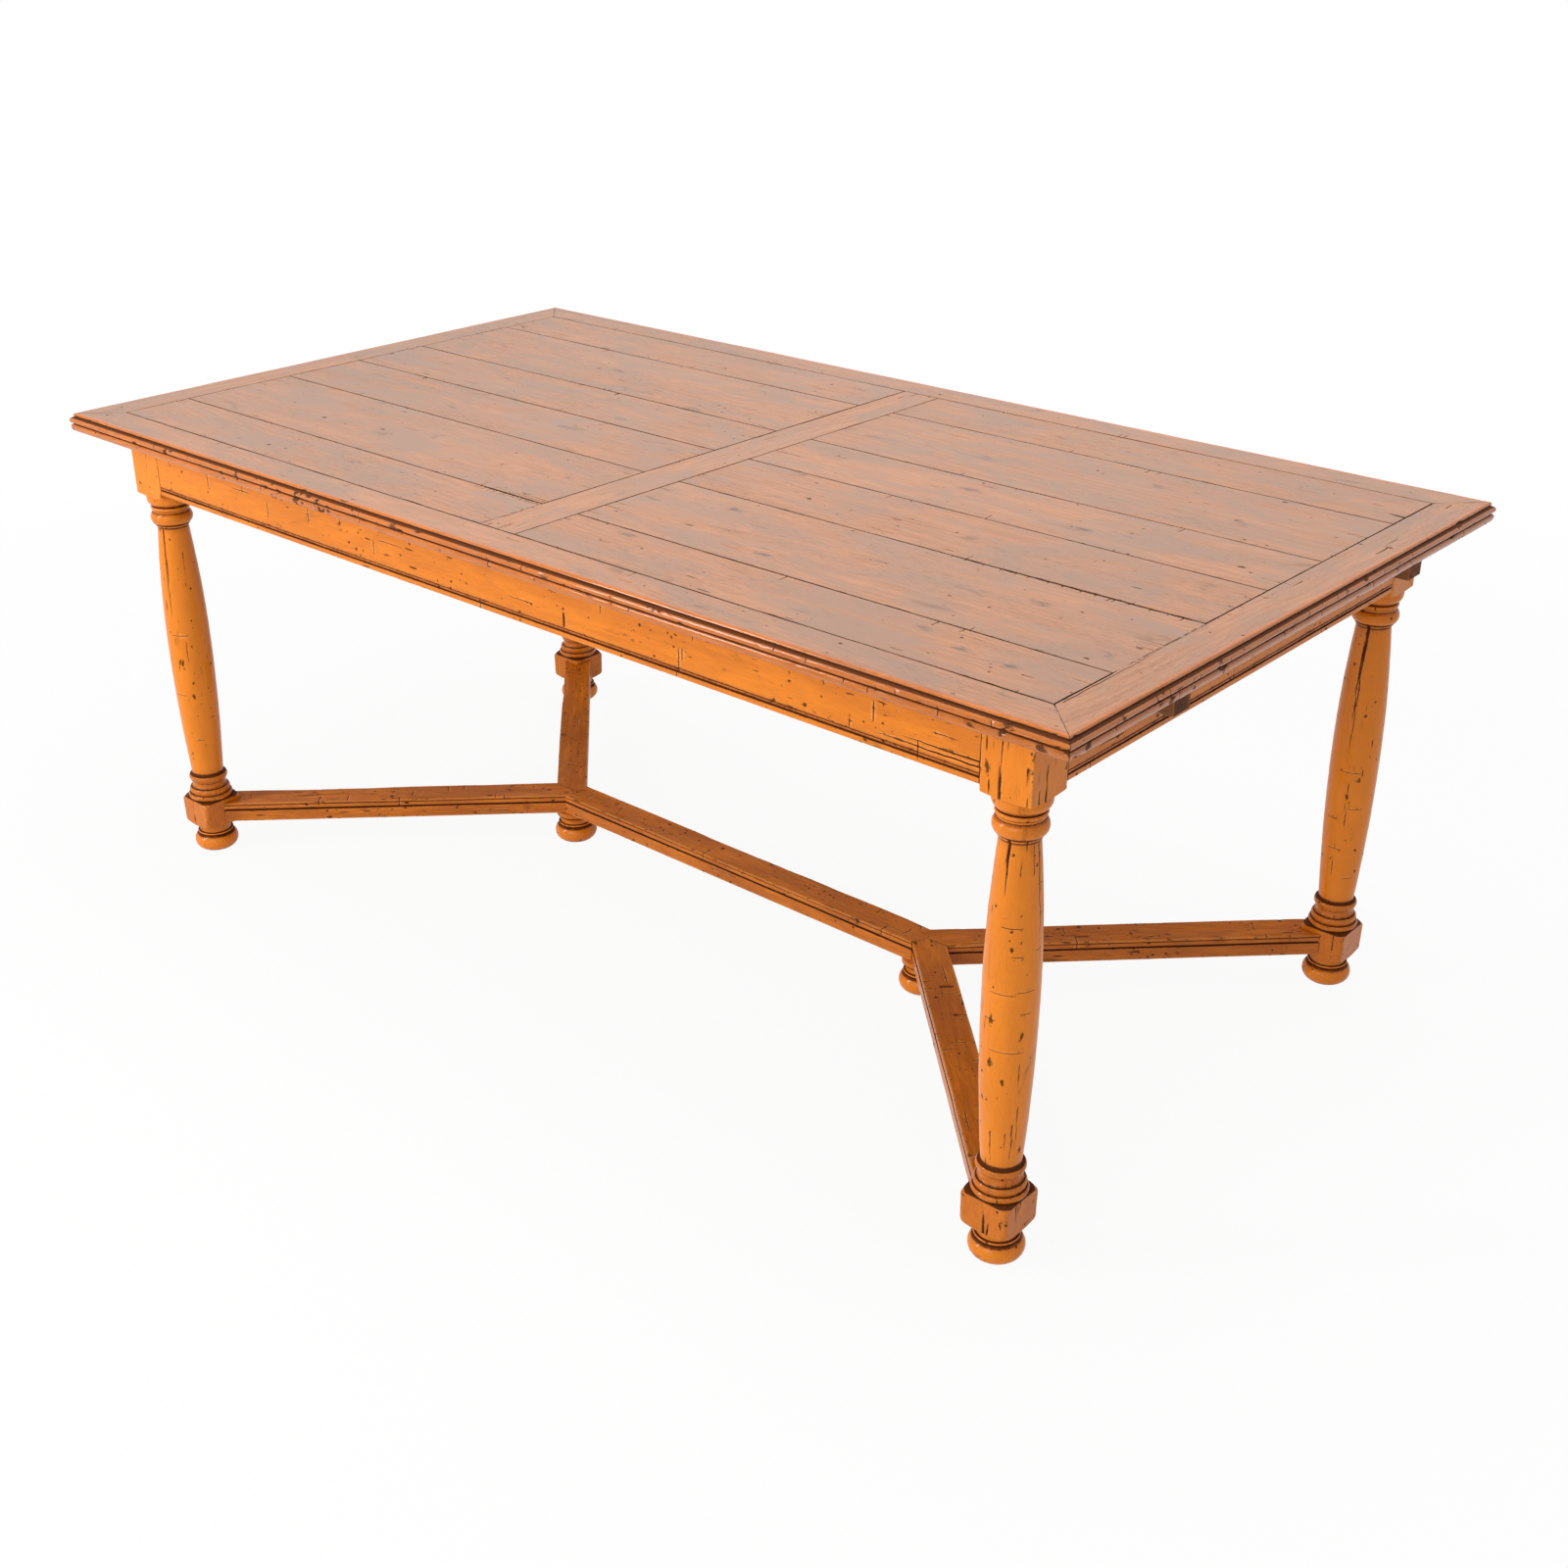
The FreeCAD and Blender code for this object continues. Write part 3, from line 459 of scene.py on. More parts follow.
def along_x(along, wide, tall):
    """Lays a board along X."""
    return np.stack([along, wide, tall], -1)


def along_y(along, wide, tall):
    """Lays a board along Y."""
    return np.stack([wide, along, tall], -1)


def steady(value):
    """An end that is square, for board's low and high."""
    return lambda across: np.full(np.shape(across), float(value))


def ragged(value, wander, seed):
    """An end that strays a little from square."""
    return lambda across: value + wander * line_noise(across, 13 * mm, seed)


def mirrored(lay, side):
    """A way to lay a board, on one side of the table."""
    return lambda along, wide, tall: lay(along, side * wide, tall)


def four_sides(long_name, end_name, faces, halves):
    """The front, back, left and right pieces, numbered: node, whether it runs along X, the way to
    lay it, the distance of its face from the middle, and half its length."""
    rows = [(long_name + name, side, along_x) for name, side in depths.items()]
    rows += [(end_name + name, side, along_y) for name, side in sides.items()]
    for number, (node, side, lay) in enumerate(rows):
        at = number // 2
        yield number, node, lay is along_x, mirrored(lay, side), faces[at], halves[at]


def corners(prefix):
    """Each corner of the table: its node, its sides of X and Y, and its number."""
    for (x_name, side_x), (y_name, side_y) in product(sides.items(), depths.items()):
        node = "%s_%s_%s" % (prefix, x_name, y_name)
        yield node, side_x, side_y, 5 * (side_x + 1) + (side_y + 1) // 2


def middle_of(node):
    """The middle of a node's box."""
    low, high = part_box(node)
    return (low + high) / 2


# The top


def plank_outline(low, high, under, top, bevel):
    """Section of a plank, with a worn bevel on both upper edges."""
    edge = 1.6 * mm
    return [
        (low, under, 0.3), (high, under, 0.3),
        (high, top - 3 * bevel, 1.0), (high, top - bevel, 1.0),
        (high - 0.5 * bevel, top - 0.3 * bevel, 0.7), (high - bevel, top, 0.4),
        (high - bevel - edge, top, 0.0), (low + bevel + edge, top, 0.0),
        (low + bevel, top, 0.4), (low + 0.5 * bevel, top - 0.3 * bevel, 0.7),
        (low, top - bevel, 1.0), (low, top - 3 * bevel, 1.0),
    ]


def plank_reshape(low, high, under, top, sizes, seed, rough=None):
    """Lets the seams wander and be nicked, and leaves the face as a hand plane did.

    rough gives where along it the upper seam is broken out.
    """
    def reshape(along, wide, tall):
        for edge, side in ((low, 1), (high, -1)):
            stray = line_noise(along, 42 * mm, seed + 11 + side)
            stray = stray + 0.6 * line_noise(along, 9 * mm, seed + side)
            nick = smooth_step(line_noise(along, 17 * mm, seed + 21 + side), 0.62, 0.8)
            gap = sizes.seam_gap + sizes.seam_wander * np.clip(0.4 + 0.6 * stray, 0, 2) * 0.8
            gap = gap + 1.1 * mm * nick
            if rough and side < 0:
                broken = smooth_step(along, rough[0], rough[0] + 0.03)
                broken = broken * smooth_step(-along, -rough[1], 0.03 - rough[1])
                gap = gap + broken * mm * (0.8 + 1.4 * abs(line_noise(along, 8 * mm, seed + 23)))
            near = 1 - smooth_step(abs(wide - edge), 0, 9 * mm)
            wide = wide + side * gap * near
        lift = np.stack([along * 0.35, wide, 0 * wide], -1)
        swell = soft_noise(lift, 60 * mm, seed + 31) + 0.5 * soft_noise(lift, 24 * mm, seed + 32)
        return along, wide, tall + sizes.planing * 0.45 * swell * (tall - under) / (top - under)
    return reshape


def random_checks(source, along, across, up, sizes, count, short, longest):
    """Checks that open at a board's ends, at random places across it."""
    checks = []
    for end, inward in zip(along, (1, -1)):
        for _ in range(count):
            reach = source.uniform(short, longest)
            place = source.uniform(across[0] + 12 * mm, across[1] - 12 * mm)
            depth = sizes.check_depth * source.uniform(0.5, 1.1)
            half = source.uniform(0.35, 0.7) * mm
            checks.append((end, end + inward * reach, place, up, half, depth))
    return checks


def random_splits(source, along, across, up, sizes, count):
    """Short splits along the grain away from the ends."""
    checks = []
    for _ in range(count):
        start = source.uniform(along[0] + 60 * mm, along[1] - 60 * mm)
        reach = source.uniform(12, 45) * mm * source.choice((-1, 1))
        place = source.uniform(across[0] + 10 * mm, across[1] - 10 * mm)
        checks.append((start, start + reach, place, up, 0.4 * mm, sizes.check_depth * 0.6))
    return checks


def random_ticks(source, along, edges, up, count):
    """Short nicks square to a seam."""
    ticks = []
    for edge in edges:
        for _ in range(count):
            place = source.uniform(along[0] + 30 * mm, along[1] - 30 * mm)
            reach = source.uniform(5, 15) * mm
            ticks.append((place, edge, up, reach, source.uniform(0.7, 1.4) * mm))
    return ticks


# Splits and nicks that stand out on the top, by board, as the photograph shows them: each split
# runs along its board from its open end, and each nick crosses the edge of its board.
bold_splits = {
    "plank_right_6": [(0.902, 0.862, 0.410)],
    "plank_right_5": [(0.902, 0.866, 0.270), (0.0355, 0.10, 0.330)],
    "plank_right_2": [(0.902, 0.860, -0.270), (0.0355, 0.08, -0.300)],
    "plank_right_4": [(0.0355, 0.095, 0.060)],
    "plank_left_5": [(-0.0355, -0.075, 0.260)],
    "plank_left_3": [(-0.0355, -0.065, -0.064)],
    "plank_left_2": [(-0.0355, -0.150, -0.346), (-0.0355, -0.095, -0.340)],
    "plank_left_1": [(-0.0355, -0.110, -0.360)],
    "long_border_front": [(-0.023, -0.090, -0.490), (0.932, 0.895, -0.502), (0.20, 0.26, -0.515)],
    "end_border_right": [(0.500, 0.455, 0.926), (-0.466, -0.270, 0.9062), (0.22, 0.26, 0.941)],
}
rough_seams = {"plank_right_2": (0.53, 0.90), "plank_left_1": (-0.17, -0.037)}
top_smudges = {
    "plank_right_1": [(0.148, -0.370), (0.736, -0.408), (0.803, -0.415), (0.655, -0.382)],
    "plank_right_2": [(0.185, -0.196), (0.714, -0.222), (0.34, -0.31)],
    "plank_right_4": [(0.377, 0.093), (0.60, 0.05)],
    "plank_left_1": [(-0.40, -0.40)],
    "plank_left_3": [(-0.30, -0.06)],
    "plank_left_4": [(-0.267, 0.03)],
    "plank_left_5": [(-0.5, 0.25)],
}
top_knots = {
    "plank_right_3": [(0.231, -0.090)],
    "plank_right_5": [(0.735, 0.222)],
    "plank_right_2": [(0.886, -0.270)],
    "end_border_right": [
        (0.941, 0.251), (0.966, -0.50, 0.020), (0.966, -0.43, 0.011), (0.966, -0.33, 0.022),
    ],
    "long_border_front": [
        (-0.365, -0.533, 0.019), (0.93, -0.533, 0.021), (0.89, -0.532, 0.010), (0.84, -0.533, 0.022),
        (-0.14, -0.533, 0.012),
    ],
}
bold_nicks = {
    "plank_right_1": [(0.660, -0.353), (0.420, -0.353)],
    "plank_left_5": [(-0.240, 0.347), (-0.62, 0.347)],
    "plank_left_3": [(-0.268, 0.0), (-0.55, 0.0)],
    "plank_left_6": [(-0.42, 0.347)],
    "plank_right_3": [(0.55, -0.151), (0.31, 0.0)],
    "plank_right_4": [(0.47, 0.0), (0.70, 0.143)],
    "plank_right_5": [(0.52, 0.347)],
}
# How far the planks' ends stay from the boards that they meet.
end_gap = 0.5 * mm


def planed_board(node, lay, along, across, sizes, seed, stray, checks, ticks, rough=None):
    """A board of the top's field, from and to along it and across it."""
    under, top = (corner.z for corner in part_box(node))
    return board(
        "planed_" + node, lay, plank_outline(*across, under, top, sizes.seam_bevel),
        ragged(along[0] + end_gap, stray, seed + 1), ragged(along[1] - end_gap, stray, seed + 2),
        checks=checks, ticks=ticks, seed=seed, ripple=0.1 * mm,
        reshape=plank_reshape(*across, under, top, sizes, seed, rough),
    )


class HARVEST_OT_lay_planks(bpy.types.Operator):
    """Lays the twelve planks of the field, with worn seams, end checks and splits"""

    bl_idname = "harvest.lay_planks"
    bl_label = "Lay the planks"

    def execute(self, context):
        sizes = context.scene.harvest_top
        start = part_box("centre_board")[1].x
        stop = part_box("end_border_right")[0].x
        for (name, side), number in product(sides.items(), range(1, 7)):
            node = "plank_%s_%d" % (name, number)
            seed = 100 * number + side * 7
            source = draws(seed + 50)
            low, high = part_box(node)
            along = sorted((side * start, side * stop))
            across, top = (low.y, high.y), high.z
            count = 2 if high.y - low.y < 0.15 else 3
            checks = random_checks(source, along, across, top, sizes, count, 8 * mm, 32 * mm)
            checks += random_splits(source, along, across, top, sizes, 3)
            for first, last, place in bold_splits.get(node, ()):
                checks.append((first, last, place, top, 0.9 * mm, sizes.check_depth * 1.5))
            ticks = random_ticks(source, along, across, top, 1)
            for place, edge in bold_nicks.get(node, ()):
                ticks.append((place, edge, top, 17 * mm, 1.6 * mm))
            rough = rough_seams.get(node)
            for part in (np.linspace(0, 1, 16) if rough else ()):
                place = rough[0] + (rough[1] - rough[0]) * part + source.uniform(-4, 4) * mm
                ticks.append((place, high.y, top, source.uniform(3, 11) * mm, 1.3 * mm))
            mesh = planed_board(
                node, along_x, along, across, sizes, seed, 0.35 * mm, checks, ticks, rough
            )
            for label, marks, reach in (
                ("smudged", top_smudges, (28 * mm, 11 * mm, 9 * mm)),
                ("knot", top_knots, (15 * mm, 9 * mm, 9 * mm)),
            ):
                stain(mesh, label, [((x, y, top), reach) for x, y in marks.get(node, ())])
            tone = source.uniform(0, 1)
            hand_over("planed_" + node, mesh, "worn_top", node, (1, 0, 0), seed, tone)
        return {"FINISHED"}


class HARVEST_OT_fit_centre_board(bpy.types.Operator):
    """Fits the board across the middle of the top"""

    bl_idname = "harvest.fit_centre_board"
    bl_label = "Fit the centre board"

    def execute(self, context):
        sizes = context.scene.harvest_top
        node, seed = "centre_board", 900
        source = draws(seed)
        low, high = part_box(node)
        along, across = (low.y, high.y), (low.x, high.x)
        checks = random_checks(source, along, across, high.z, sizes, 2, 10 * mm, 40 * mm)
        checks += random_splits(source, along, across, high.z, sizes, 3)
        ticks = random_ticks(source, along, across, high.z, 1)
        mesh = planed_board(node, along_y, along, across, sizes, seed, 0.3 * mm, checks, ticks)
        hand_over("planed_" + node, mesh, "worn_top", node, (0, 1, 0), seed, 0.15)
        return {"FINISHED"}


def border_outline(reach, under, top, sizes):
    """Section of a border board: the stepped moulding from the underside up, then the surface."""
    inner = reach - sizes.border_width
    bevel = sizes.seam_bevel
    bead_top = top - sizes.bead_drop
    bead_low = bead_top - sizes.bead_height
    lower_top = bead_low - sizes.groove_height
    bead = reach - sizes.bead_inset
    quirk = (reach - sizes.quirk_inset, top - sizes.quirk_drop, 1.0)
    # The foot's glaze darkens the moulding's lower edge as painted shade.
    foot = (reach - sizes.foot_inset, under, 0.7)
    nosing = (reach - sizes.nosing_inset, top - sizes.nosing_drop, 0.9)
    surface = (reach - sizes.surface_inset, top, 0.0)
    crest = (reach - sizes.lower_inset, lower_top - 0.45 * (lower_top - under), 0.0)
    points = [(inner, under, 0.3), (reach - 12 * mm, under, 0.2), foot]
    points += bow(foot, crest, 0.35 * mm, 6)
    points += bow(crest, (bead - 0.6 * mm, lower_top, 1.0), 0.95 * mm, 8)
    points += [(reach - sizes.groove_inset, (bead_low + lower_top) / 2, 1.0), (bead, bead_low, 1.0)]
    points += bow((bead, bead_low), (bead, bead_top, 1.0), sizes.bead_inset, 12, 0.8)
    points += [(quirk[0] + 0.8 * mm, quirk[1] - 0.3 * mm, 1.0), quirk, nosing]
    points += bow(nosing, surface, 1.15 * mm, 6, 0.2)
    points += [
        (inner + bevel + 1.6 * mm, top, 0.0), (inner + bevel, top, 0.22),
        (inner + 0.5 * bevel, top - 0.3 * bevel, 0.5), (inner, top - bevel, 1.0),
        (inner, top - 3 * bevel, 1.0),
    ]
    return points


def border_wear(reach, top, sizes, seed, battered):
    """Chips and stains along the moulding, none on the flat surface, and more at a battered end."""
    def wear(along, wide, tall):
        spots = np.stack([along, wide, tall], -1)
        outer = smooth_step(wide, reach - 9.5 * mm, reach - 6 * mm)
        outer = outer * smooth_step(top - tall, 0.2 * mm, 2.5 * mm)
        rough = soft_noise(spots * (0.6, 1, 1), 11 * mm, seed + 61)
        rough = rough + 0.5 * soft_noise(spots, 4 * mm, seed + 62)
        patch = smooth_step(line_noise(along, 90 * mm, seed + 63), -0.35, 0.55)
        if battered:
            patch = np.maximum(patch, 1.5 * smooth_step(along * battered, 0.42, 0.52))
        chip = smooth_step(rough, 0.62 - 0.2 * (patch > 1), 0.95) * (0.35 + 0.65 * patch) * outer
        sway = 0.35 * mm * line_noise(along, 70 * mm, seed + 64) * outer
        return chip * sizes.chip_depth + sway, smooth_step(chip, 0.12, 0.6) * 0.95
    return wear


class HARVEST_OT_mould_borders(bpy.types.Operator):
    """Makes the four mitred border boards with their stepped and chipped edge moulding"""

    bl_idname = "harvest.mould_borders"
    bl_label = "Mould the borders"

    def execute(self, context):
        sizes = context.scene.harvest_top
        gap = context.scene.harvest_base.joint_gap
        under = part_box("long_border_front")[0].z
        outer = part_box("long_border_back")[1]
        top, reaches = outer.z, (outer.y, outer.x)
        battered = {"long_border_front": 0.55, "end_border_right": -1.0}
        for number, node, is_long, place, reach, half in four_sides(
            "long_border_", "end_border_", reaches, reaches[::-1]
        ):
            seed = 1000 + 37 * number
            source = draws(seed)
            inner = reach - sizes.border_width
            mitre = lambda across, way=1: way * (half - (reach - across) - gap)
            span = (-half + sizes.border_width, half - sizes.border_width)
            checks = random_splits(source, span, (inner, reach - 12 * mm), top, sizes, 5)
            for first, last, across in bold_splits.get(node, ()):
                checks.append((first, last, abs(across), top, 0.9 * mm, sizes.check_depth * 1.4))
            ticks = random_ticks(source, span, (inner,), top, 5)
            for _ in range(20):
                ticks.append((
                    source.uniform(*span), reach - sizes.bead_inset, top - source.uniform(7, 22) * mm,
                    source.uniform(3, 8) * mm, source.uniform(0.4, 0.9) * mm,
                ))
            mesh = board(
                "moulded_" + node, place, border_outline(reach, under, top, sizes),
                lambda across: mitre(across, -1), mitre, pace=5 * mm, checks=checks, ticks=ticks,
                reshape=self.reshape(inner, under, top, sizes, seed), seed=seed, ripple=0.18 * mm,
                wear=border_wear(reach, top, sizes, seed, battered.get(node, 0)), glaze_ends=0.75,
            )
            across = abs(vertex_places(mesh)[:, int(is_long)])
            share = 1.0 if is_long else 0.8
            store(mesh, "honey", share * (across > reach - sizes.surface_inset - 0.3 * mm))
            stain(mesh, "knot", [
                ((x, y, top - (drop or [0])[0]), (15 * mm, 11 * mm, 9 * mm))
                for x, y, *drop in top_knots.get(node, ())
            ])
            tone = 0.1 + 0.15 * number
            hand_over("moulded_" + node, mesh, "worn_top", node, grain_ways[is_long], seed, tone)
        return {"FINISHED"}

    @staticmethod
    def reshape(inner, under, top, sizes, seed):
        """Lets the inner seam wander, and planes the surface unevenly."""
        def reshape(along, wide, tall):
            stray = line_noise(along, 38 * mm, seed + 11) + 0.5 * line_noise(along, 9 * mm, seed + 12)
            near = 1 - smooth_step(wide - inner, 0, 9 * mm)
            wide = wide + (sizes.seam_gap + 0.45 * sizes.seam_wander * np.clip(1 + stray, 0, 2)) * near
            lift = np.stack([along * 0.35, wide, 0 * wide], -1)
            swell = soft_noise(lift, 45 * mm, seed + 31) * (tall - under) / (top - under)
            return along, wide, tall + sizes.planing * 0.35 * swell
        return reshape


# The base


def apron_outline(face, base, top, sizes):
    """Section of an apron with the two grooves along its lower edge."""
    radius = sizes.apron_radius
    lip, fine = base + sizes.lip_height, base + sizes.fine_height
    lip_half, fine_half = sizes.lip_width / 2, sizes.fine_width / 2
    back = face - sizes.apron_thickness
    under = (face - radius, base, 0.35)
    points = [(back, base, 0.3), under]
    points += bow(under, (face, base + radius, 0.05), radius * (1 - math.sqrt(0.5)), 5)
    points += [
        (face, lip - lip_half - 1.2 * mm, 0.05), (face, lip - lip_half, 0.65),
        (face - sizes.lip_depth, lip - lip_half / 2, 1.0),
        (face - sizes.lip_depth, lip + lip_half / 2, 1.0),
        (face, lip + lip_half, 0.85), (face, lip + lip_half + 0.6 * mm, 0.5),
        (face, fine - fine_half, 0.5), (face - sizes.fine_depth, fine, 1.0),
        (face, fine + fine_half, 0.5),
        (face, fine + fine_half + 2.5 * mm, 0.08), (face, fine + 12 * mm, 0.0),
        # The glaze rising towards the top is painted shadow of the top's overhang.
        (face, top - 26 * mm, 0.0), (face, top - 9 * mm, 0.3), (face, top, 0.7), (back, top, 0.3),
    ]
    return points


def tool_wear(seed, sway, dents):
    """Slow sway and small dents of a hand-worked face, with dark in the dents."""
    def wear(along, wide, tall):
        spots = np.stack([along, wide, tall], -1)
        slow = soft_noise(spots * (0.4, 1, 1), 120 * mm, seed + 71)
        rough = soft_noise(spots * (0.5, 1, 1), 8 * mm, seed + 72)
        rough = rough + 0.5 * soft_noise(spots, 3.5 * mm, seed + 73)
        patch = smooth_step(soft_noise(spots, 80 * mm, seed + 74), -0.2, 0.5)
        dent = smooth_step(rough, 0.78, 1.05) * patch
        return sway * slow + dents * dent, 0.85 * smooth_step(dent, 0.2, 0.8)
    return wear


# Ragged dark streaks along the front apron: place along it, height and reach in millimetres.
apron_streaks = (
    (0.775, 0.690, 75), (0.795, 0.678, 60), (0.70, 0.681, 70), (0.74, 0.699, 40), (0.60, 0.678, 60),
    (0.32, 0.679, 50), (0.20, 0.690, 30), (-0.16, 0.745, 60), (-0.55, 0.742, 60), (-0.75, 0.68, 40),
)


# Marks that stand out on the front apron, as the photograph shows them. Splits: from and to along
# it, height in metres and depth in millimetres. Nicks: place, height, and reach and depth in
# millimetres.
apron_splits = (
    (0.815, 0.660, 0.6805, 2.2), (0.815, 0.700, 0.6875, 1.8), (0.815, 0.74, 0.694, 1.6),
    (-0.19, -0.085, 0.744, 1.4), (0.35, 0.30, 0.682, 1.4), (-0.362, -0.246, 0.7155, 1.8),
    (0.22, 0.30, 0.679, 1.4), (0.50, 0.43, 0.679, 1.4),
)
apron_nicks = ((0.347, 0.687, 17, 1.3), (0.662, 0.705, 13, 1.3), (-0.52, 0.70, 14, 1.2))
# The reach and depth of a tick that only sets stations beside a sharp turn.
no_mark = (hair, 0.0)


class HARVEST_OT_mould_aprons(bpy.types.Operator):
    """Makes the aprons with the grooves along their lower edges and the notches for the supports"""

    bl_idname = "harvest.mould_aprons"
    bl_label = "Mould the aprons"

    def execute(self, context):
        sizes = context.scene.harvest_base
        base, top = (corner.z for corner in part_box("apron_front"))
        inset = sizes.block_half
        leg = middle_of("leg_right_back")
        halves = (leg.x - inset - sizes.joint_gap, leg.y - inset - sizes.joint_gap)
        faces = (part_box("apron_back")[1].y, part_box("apron_right")[1].x)
        bar_low, bar_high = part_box("loper_right_back")
        play = 0.3 * mm
        notch = (bar_low.y - play, bar_high.y + play, bar_low.z - play)
        for number, node, is_long, place, face, half in four_sides("apron_", "apron_", faces, halves):
            is_front = node == "apron_front"
            seed = 2000 + 41 * number
            source = draws(seed)
            checks = []
            for _ in range(14):
                start = source.uniform(-half, half)
                up = source.uniform(base + 18 * mm, top - 8 * mm)
                reach = source.uniform(12, 60) * mm * source.choice((-1, 1))
                checks.append((
                    start, start + reach, face, up,
                    source.uniform(0.3, 0.6) * mm, source.uniform(0.5, 1.2) * mm,
                ))
            for first, last, up, depth in (apron_splits if is_front else ()):
                checks.append((first, last, face, up, 1.0 * mm, depth * mm))
            ticks = []
            for _ in range(16):
                ticks.append((
                    source.uniform(-half, half), face, source.uniform(base, top),
                    source.uniform(4, 12) * mm, source.uniform(0.5, 1.1) * mm,
                ))
            for along, up, reach, depth in (apron_nicks if is_front else ()):
                ticks.append((along, face, up, reach * mm, depth * mm))
            if not is_long:
                ticks = [t for t in ticks if abs(abs(t[0]) - (notch[0] + notch[1]) / 2) > 30 * mm]
                ticks += [(way * edge, face, top, *no_mark) for edge in notch[:2] for way in (-1, 1)]
            mesh = board(
                "moulded_" + node, place, apron_outline(face, base, top, sizes),
                steady(-half), steady(half), checks=checks, ticks=ticks, seed=seed,
                reshape=None if is_long else self.notch(notch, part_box(node)[0].z), glaze_ends=0.8,
                wear=tool_wear(seed, 0.5 * mm, 0.8 * mm), ripple=sizes.ripple * 0.35,
            )
            if is_front:
                stain(mesh, "knot", [
                    ((x, -face - 12 * mm, z), (reach * mm, 20 * mm, 8 * mm))
                    for x, z, reach in apron_streaks
                ])
            tone = source.uniform(0.1, 0.6)
            hand_over("moulded_" + node, mesh, "honey_base", node, grain_ways[is_long], seed, tone)
        return {"FINISHED"}

    @staticmethod
    def notch(edges, base):
        """Lowers the upper part of an end apron where a leaf support passes over it."""
        def reshape(along, wide, tall):
            inside = (abs(along) > edges[0] - 0.5 * mm) & (abs(along) < edges[1] + 0.5 * mm)
            start = base + 32 * mm
            part = np.clip((tall - start) / (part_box("apron_right")[1].z - start), 0, None)
            lowered = np.where(tall > start, start + part * (edges[2] - start), tall)
            return along, wide, np.where(inside, lowered, tall)
        return reshape


# Outlines turned on the lathe, from the floor up, in millimetres: radius, height, and how far the
# arc from the station before bulges. A fourth value of 1 marks the stations of a square block.
foot_turning = [
    (28, 0), (28, 29, 9), (26.5, 29), (26.5, 30.5), (29, 30.5), (29, 33.5, 1.5), (27, 33.5),
]
leg_turning = foot_turning + [
    (30, 47, -1.5), (30, 47, 0, 1), (43, 50.5, 0, 1), (48, 56, 1.5, 1), (48.6, 90, 0, 1),
    (46, 95.5, 1.2, 1), (36.5, 99, 1.2, 1), (35, 99), (35, 107.5, 2.3), (33.4, 107.5), (33.4, 109),
    (32.6, 109), (32, 118.5, 1.9), (30.6, 118.5), (30.6, 119.5), (28.4, 131, -2.2), (30, 131),
    (30, 132.5), (30, 143, 2.2), (27.2, 144), (26.4, 145.5), (35.4, 384.7, 2.3),
    (24.6, 597, 2.7), (27, 597), (27, 601), (29.4, 601), (29.4, 621, 4.4), (29, 621),
    (29.6, 625), (29.6, 631, 1.8), (28.6, 631), (28.6, 633), (30, 633), (36, 645.5, 1.8),
    (36, 650.5), (36, 650.5, 0, 1), (52.4, 653, 0, 1), (52.4, 752, 0, 1),
]
junction_turning = foot_turning + [(33, 47.5, -1.5), (33, 55.5)]
# Darkening in recesses, partly grime and partly painted shade: how far to look, least and most depth, and its
# share.
recess_dirt_and_shade = ((1.3, 0.3, 1.3, 1.0), (5.0, 0.0, 6.0, 0.32), (16.0, 0.0, 9.0, 0.22))
# A brown tint and dark bands on the turnings, partly glaze and partly painted shade under the blocks and
# rings and in the joints between them: from and to heights and amount.
glaze_and_shade_bands = (
    (45.4, 48.6, 0.95), (48.6, 97, 0.34), (96.6, 100, 1.0), (100, 147, 0.36), (142.2, 147.4, 0.9),
    (599.4, 602.4, 0.95), (602.4, 651, 0.12), (631, 633.4, 0.8),
)


# Steps along a turning, in millimetres: on its long and square spans, and on the small ones. A
# square block's outline runs out past its faces, so recesses count its faces only.
long_step, fine_step = 4.5, 1.4
block_face = 37


def turned_outline(stations):
    """The turning as a polyline: radius, height, square flag and glaze of each point, the glaze partly
    painted shade.
    """
    points = [(0.0, stations[0][1], 0.0, 0.5), (stations[0][0], stations[0][1], 0.0, 0.5)]
    for before, here in zip(stations[:-1], stations[1:]):
        square = here[3] if len(here) > 3 else 0
        bulge = here[2] if len(here) > 2 else 0
        span = math.hypot(here[0] - before[0], here[1] - before[1])
        if span == 0:
            points.append((here[0], here[1] + 0.02, square, 0))
            continue
        plain = span > (30 if square else 60)
        count = max(1, math.ceil(span / (long_step if plain else fine_step)))
        if bulge:
            count = max(count, 8)
            arc = bow(before, (here[0], here[1], 0), bulge, count)
            points += [(spot[0], spot[1], square, 0) for spot in arc]
        else:
            for step in range(1, count + 1):
                part = step / count
                points.append((
                    before[0] + (here[0] - before[0]) * part,
                    before[1] + (here[1] - before[1]) * part, square, 0,
                ))
    points.append((0.0, stations[-1][1], points[-1][2], 0.5))
    shape = np.array(points, float)
    radius = np.where(shape[:, 2] > 0, np.minimum(shape[:, 0], block_face), shape[:, 0])
    # Darkens each point by how far it lies below its neighbours, partly as grime and partly as painted shade.
    for reach, least, most, share in recess_dirt_and_shade:
        for number in range(1, len(shape) - 1):
            near = abs(shape[1:-1, 1] - shape[number, 1]) < reach
            recess = radius[1:-1][near].max() - radius[number]
            dirt_and_shade = share * min(1, max(0, recess - least) / most)
            shape[number, 3] = max(shape[number, 3], dirt_and_shade)
    # Lays the bands of brown tint and dark, partly glaze and partly painted shade.
    for start, end, amount in glaze_and_shade_bands:
        inside = (shape[:, 1] > start) & (shape[:, 1] < end)
        shape[inside, 3] = np.maximum(shape[inside, 3], amount)
    shape[:, :2] *= mm
    return shape


